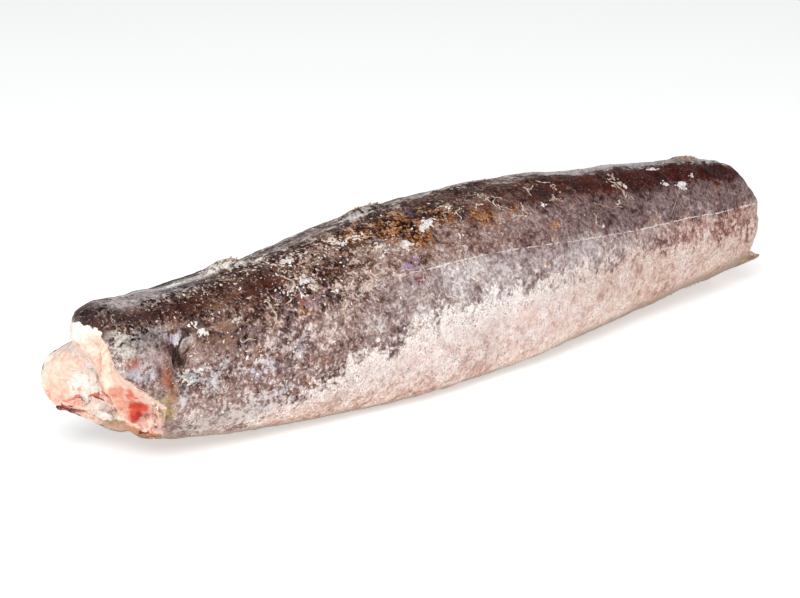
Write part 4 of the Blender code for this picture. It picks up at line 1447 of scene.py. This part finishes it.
def makeLateralLine():
    look = lateralLine
    rng = random.Random(31)
    shape = bmesh.new()
    stations = np.array(skinMap["lateralLine"], float).T
    for near in (True, False):
        x = look["reach"][0]
        while x < look["reach"][1]:
            length = rng.uniform(*look["dash"])
            path, ups, radii = [], [], []
            steps = max(4, int(length / look["step"]))
            for k in range(steps + 1):
                here = x + length * k / steps
                angle = np.interp(here, *stations)
                if not near:
                    angle = skinMap["backAngle"] + farSide(angle - skinMap["backAngle"])
                arc = placeOnSkin(here, angle)
                point, normal = skinAt(here, arc + rng.uniform(-look["waver"], look["waver"]))
                path.append(point)
                ups.append(normal)
                radii.append(look["thickness"] * rng.uniform(*look["raggedness"]))
            addTube(shape, path, radii, ups, flat=0.7)
            x += length + rng.uniform(*look["gap"])
    print("lateral line laid")
    return finishPiece("lateralLine", shape, makeTissue(look["material"]))


# Stubs of the fins that were cut off: short bony rays in a row with scraps of web between them.
# Bone and dry web range from brown to cream and have a faint horny gloss.
finStubs = {
    # x of the first and last ray, angle, height, lean towards the tail in degrees and spacing
    "rows": (
        (-102, -90, 84, 1.7, 40, 1.1), (-44, -26, 84, 1.3, 55, 1.3), (126, 139, 84, 1.6, 60, 1.2),
        (8, 40, 84, 0.8, 65, 1.7), (66, 96, 84, 0.7, 65, 1.7), (96, 140, 247, 1.3, 60, 1.6),
    ),
    "thickness": 0.42,
    "sunk": 0.5,  # how deep each ray starts in the skin
    "waver": 0.35,  # how far it stands from the row's line
    "heights": (0.5, 1.2),
    "leanScatter": 12,
    "gaps": (0.7, 1.3),  # times the spacing
    "flatness": (0.6, 1.0),
    "raggedness": (0.8, 1.2),
    "material": {
        "name": "finRayStubs", "grain": (2.4, 0.6), "colours": ("#6f5745", "#b09a84", "#e3d8cb"),
        "roughness": (0.4, 0.65), "bump": 0.15, "specular": 0.3,
    },
}


def makeFinStubs():
    look = finStubs
    rng = random.Random(41)
    shape = bmesh.new()
    for start, end, angle, height, lean, spacing in look["rows"]:
        x = start
        while x < end:
            arc = placeOnSkin(x, angle) + rng.uniform(-look["waver"], look["waver"])
            root, normal = skinAt(x, arc)
            fade = math.sin(math.pi * min(max((x - start) / (end - start), 0.08), 0.92))
            reach = height * (0.5 + 0.5 * fade) * rng.uniform(*look["heights"])
            slope = math.radians(lean + rng.uniform(-look["leanScatter"], look["leanScatter"]))
            way = (normal * math.cos(slope) + Vector((1, 0, 0)) * math.sin(slope)).normalized()
            sunk, ragged = look["sunk"], look["raggedness"]
            path = [root - way * sunk + way * (reach + sunk) * k / 5 for k in range(6)]
            side = way.orthogonal().normalized()
            radii = [look["thickness"] * (1 - 0.1 * k) * rng.uniform(*ragged) for k in range(6)]
            addTube(shape, path, radii, [side] * 6, flat=rng.uniform(*look["flatness"]))
            x += spacing * rng.uniform(*look["gaps"])
    print("fin stubs set")
    return finishPiece("finRayStubs", shape, makeTissue(look["material"]))


# What is left of the pectoral fins: dark folds of web in the pits behind the head cut. They are the
# wettest part of the skin, so they're nearly black and have the sharpest gloss.
finFolds = {
    # x, angle, heading in degrees, length, width
    "near": (
        (-130.5, 143, 130, 8, 0.6), (-128.5, 152, 122, 7, 0.5), (-131.5, 146, 120, 9, 0.45),
        (-129.5, 133, 30, 4, 0.5), (-127, 136, 100, 3, 0.45), (-127.5, 147, 128, 4, 0.4),
        (-128.5, 138, 125, 7, 0.4), (-132.5, 152, 118, 7, 0.35),
    ),
    "far": (
        (-130, 28, -75, 10, 0.9), (-128, 22, -80, 8, 0.8), (-126, 33, -70, 7, 0.7),
        (-131, 15, -70, 8, 0.6),
    ),
    "walk": (0.8, 0.12, 0.1),  # length of a step, how it turns in radians, and how high it lies
    "raggedness": (0.8, 1.2),  # times the width
    "material": {
        "name": "darkFinWeb", "grain": (2.5, 0.7), "colours": ("#120807", "#2a1713", "#5a4038"),
        "roughness": (0.25, 0.5), "bump": 0.15, "specular": 0.4,
    },
}


def makeFinFolds():
    look = finFolds
    rng = random.Random(53)
    shape = bmesh.new()
    folds = look["near"] + look["far"]
    for x, angle, heading, length, width in folds:
        start = x, placeOnSkin(x, angle), math.radians(heading)
        path, ups = walkSkin(rng, *start, length, *look["walk"])
        last = len(path) - 1
        swell = [math.sin(math.pi * (0.15 + 0.85 * k / last)) for k in range(last + 1)]
        radii = [width * share * rng.uniform(*look["raggedness"]) for share in swell]
        addTube(shape, path, radii, ups, flat=0.7, sides=8)
    print("fin folds:", len(folds))
    return finishPiece("finFolds", shape, makeTissue(look["material"]))


# Torn ends of membrane and muscle and frozen blood on the head cut, in white, salmon and dark red.
# Membrane and muscle are moist and gleam softly, and blood is the glossiest.
tornFlesh = {
    "membrane": {
        # y, z, reach in y and z, how many strands, heading in degrees and length
        "strands": (
            (5, 29, 2.4, 3.4, 18, 80, 5), (-2, 18, 4, 1, 3, 20, 4), (3, 35, 2, 4, 8, 70, 5),
            (-18, 26, 1, 6, 8, 100, 4),
        ),
        # y, z, half width, half height and thickness
        "lumps": ((4.4, 30, 1.6, 4.2, 0.5), (6, 24, 1.6, 3.0, 0.5), (1, 17, 4.5, 1.6, 0.8)),
        "thickness": 0.32,
        "material": {
            "name": "whiteMembrane", "grain": (2.0, 0.5),
            "colours": ("#e0c6b6", "#f6eae0", "#fffaf5"),
            "roughness": (0.3, 0.5), "bump": 0.12, "specular": 0.35,
        },
    },
    "muscle": {
        "strands": (
            (-11, 38, 1.6, 9, 14, 90, 6), (-10, 28, 2, 5, 12, 100, 5), (4, 14, 6, 2, 12, 10, 5),
            (-16, 26, 2, 4, 10, 110, 4), (12, 20, 5, 3, 10, 30, 5),
        ),
        "lumps": (
            (-16.2, 16.5, 3.2, 2.6, 1.4), (-9, 27, 2.2, 3.0, 0.8),
            (9, 20, 3.5, 1.4, 0.9), (-17.5, 21, 1.6, 2.6, 0.8),
        ),
        "thickness": 0.34,
        "material": {
            "name": "tornMuscle", "grain": (2.4, 0.6), "colours": ("#d98f7c", "#f0bfae", "#f8dccb"),
            "roughness": (0.28, 0.5), "bump": 0.15, "specular": 0.35,
        },
    },
    "blood": {
        "strands": ((12, 17, 3.5, 1, 9, 10, 4), (3, 21.5, 3, 0.7, 5, 0, 4)),
        "lumps": (
            (14.5, 17, 1.8, 0.9, 0.8), (11.5, 16.2, 1.4, 0.7, 0.7),
            (16.2, 18.6, 1.0, 0.9, 0.6), (-11.0, 11.5, 3.4, 0.8, 0.6),
        ),
        "thickness": 0.3,
        "material": {
            "name": "frozenBlood", "grain": (2.0, 0.6), "colours": ("#451614", "#7c342c", "#b56a5d"),
            "roughness": (0.2, 0.4), "bump": 0.12, "specular": 0.4,
        },
    },
}


# how every strand of it runs over the cut
tornStrand = {
    "scatter": 0.6,  # of where strands start, as a share of the reach
    "turnScatter": 0.35,  # radians
    "steps": 7,
    "wobble": 0.25,  # radians for each step
    "lift": 0.08,
    "facing": -0.45,  # a strand ends where the cut turns away from the head end
    "lumpSunk": 0.2,
}


def makeTornFlesh(key):
    look = tornFlesh[key]
    rng = random.Random(61 + len(key))
    shape = bmesh.new()
    scatter, steps = tornStrand["scatter"], tornStrand["steps"]
    for middleY, middleZ, reachY, reachZ, count, heading, length in look["strands"]:
        for _ in range(count):
            y = middleY + rng.gauss(0, scatter) * reachY
            z = middleZ + rng.gauss(0, scatter) * reachZ
            turn = math.radians(heading) + rng.gauss(0, tornStrand["turnScatter"])
            path, ups = [], []
            for _ in range(steps):
                point, normal = cutAt(y, z)
                if point is None or normal.x > tornStrand["facing"]:
                    break
                path.append(point + normal * tornStrand["lift"])
                ups.append(normal)
                y += length / steps * math.cos(turn)
                z += length / steps * math.sin(turn)
                turn += rng.gauss(0, tornStrand["wobble"])
            if len(path) > 3:
                last = len(path) - 1
                swell = [math.sin(math.pi * (0.2 + 0.75 * k / last)) for k in range(last + 1)]
                addTube(shape, path, [look["thickness"] * share for share in swell], ups, flat=0.7)
    lumpList = []
    for y, z, width, height, thickness in look["lumps"]:
        point, normal = cutAt(y, z)
        sunk = point - normal * tornStrand["lumpSunk"]
        lumpList.append((sunk, normal, width, height, thickness, 0.0))
    addLumps(shape, lumpList, 7, faces=3)
    return finishPiece(key + "Scraps", shape, makeTissue(look["material"]))


makeFrost()
makeChips()
makeShreds()
makeLateralLine()
makeFinStubs()
makeFinFolds()
for key in tornFlesh:
    makeTornFlesh(key)
print("torn flesh:", ", ".join(tornFlesh))


# A matt white table under a pale studio sky. The soft box gives the broad highlight on the back, and
# the table's own faint glow fills the shadows, as light that bounces under the fish does.
studio = {
    "floorSize": 8.0,  # metres, like the other lengths of the studio
    "floorColour": "#f2f3f3",
    "floorRoughness": 0.9,
    "floorSpecular": 0.1,
    "floorGlow": 0.5,  # the table is lit from below a little, so shadows stay pale
    # brightness of the surroundings from the horizon up to overhead
    "skyStops": ((0.0, 1.0), (0.17, 0.82), (0.4, 0.29), (1.0, 0.2)),
    "skyStrength": 0.98,
    "softBox": {"place": (-0.55, -0.55, 0.95), "aim": (0, 0, 0.03), "size": 0.9, "watts": 13.0},
    # the camera: its direction and distance from the target, and its lens and sensor in mm
    "azimuth": -40.0,
    "elevation": 19.0,
    "target": (-0.0211, 0.0, 0.0292),
    "distance": 0.8987,
    "lens": 110.0,
    "sensor": 36.0,
}


def makeStudio():
    material, _, shader = newMaterial("paleTable")
    feed(shader, {
        "Base Color": studio["floorColour"],
        "Roughness": studio["floorRoughness"],
        "Specular IOR Level": studio["floorSpecular"],
        "Emission Color": studio["floorColour"],
        "Emission Strength": studio["floorGlow"],
    })
    shape = bmesh.new()
    bmesh.ops.create_grid(shape, x_segments=4, y_segments=4, size=studio["floorSize"] / 2)
    table = addObject("table", shape, material)

    world = bpy.data.worlds.new("softStudio")
    world.use_nodes = True
    sky = world.node_tree
    direction = addNode(sky, "coordinates", output="Generated")
    height = addNode(sky, "splitPlace", direction, output="Z")
    shade = addNode(sky, "ramp", height, stops=studio["skyStops"])
    feed(sky.nodes["Background"], {"Color": shade, "Strength": studio["skyStrength"]})
    scene.world = world

    box = studio["softBox"]
    light = bpy.data.lights.new("softBox", "AREA")
    light.size = box["size"]
    light.energy = box["watts"]
    lamp = bpy.data.objects.new("softBox", light)
    lamp.location = box["place"]
    lamp.rotation_mode = "QUATERNION"
    lamp.rotation_quaternion = (Vector(box["aim"]) - lamp.location).to_track_quat("-Z", "Y")
    scene.collection.objects.link(lamp)

    azimuth, elevation = math.radians(studio["azimuth"]), math.radians(studio["elevation"])
    back = Vector((
        math.sin(azimuth) * math.cos(elevation),
        -math.cos(azimuth) * math.cos(elevation),
        math.sin(elevation),
    ))
    lens = bpy.data.cameras.new("camera")
    lens.lens = studio["lens"]
    lens.sensor_width = studio["sensor"]
    lens.clip_start, lens.clip_end = 0.01, 50.0
    camera = bpy.data.objects.new("camera", lens)
    camera.location = Vector(studio["target"]) + back * studio["distance"]
    camera.rotation_mode = "QUATERNION"
    camera.rotation_quaternion = (-back).to_track_quat("-Z", "Y")
    scene.collection.objects.link(camera)
    scene.camera = camera
    scene.view_settings.view_transform = "Standard"


makeStudio()
print("studio: floor, light and camera")
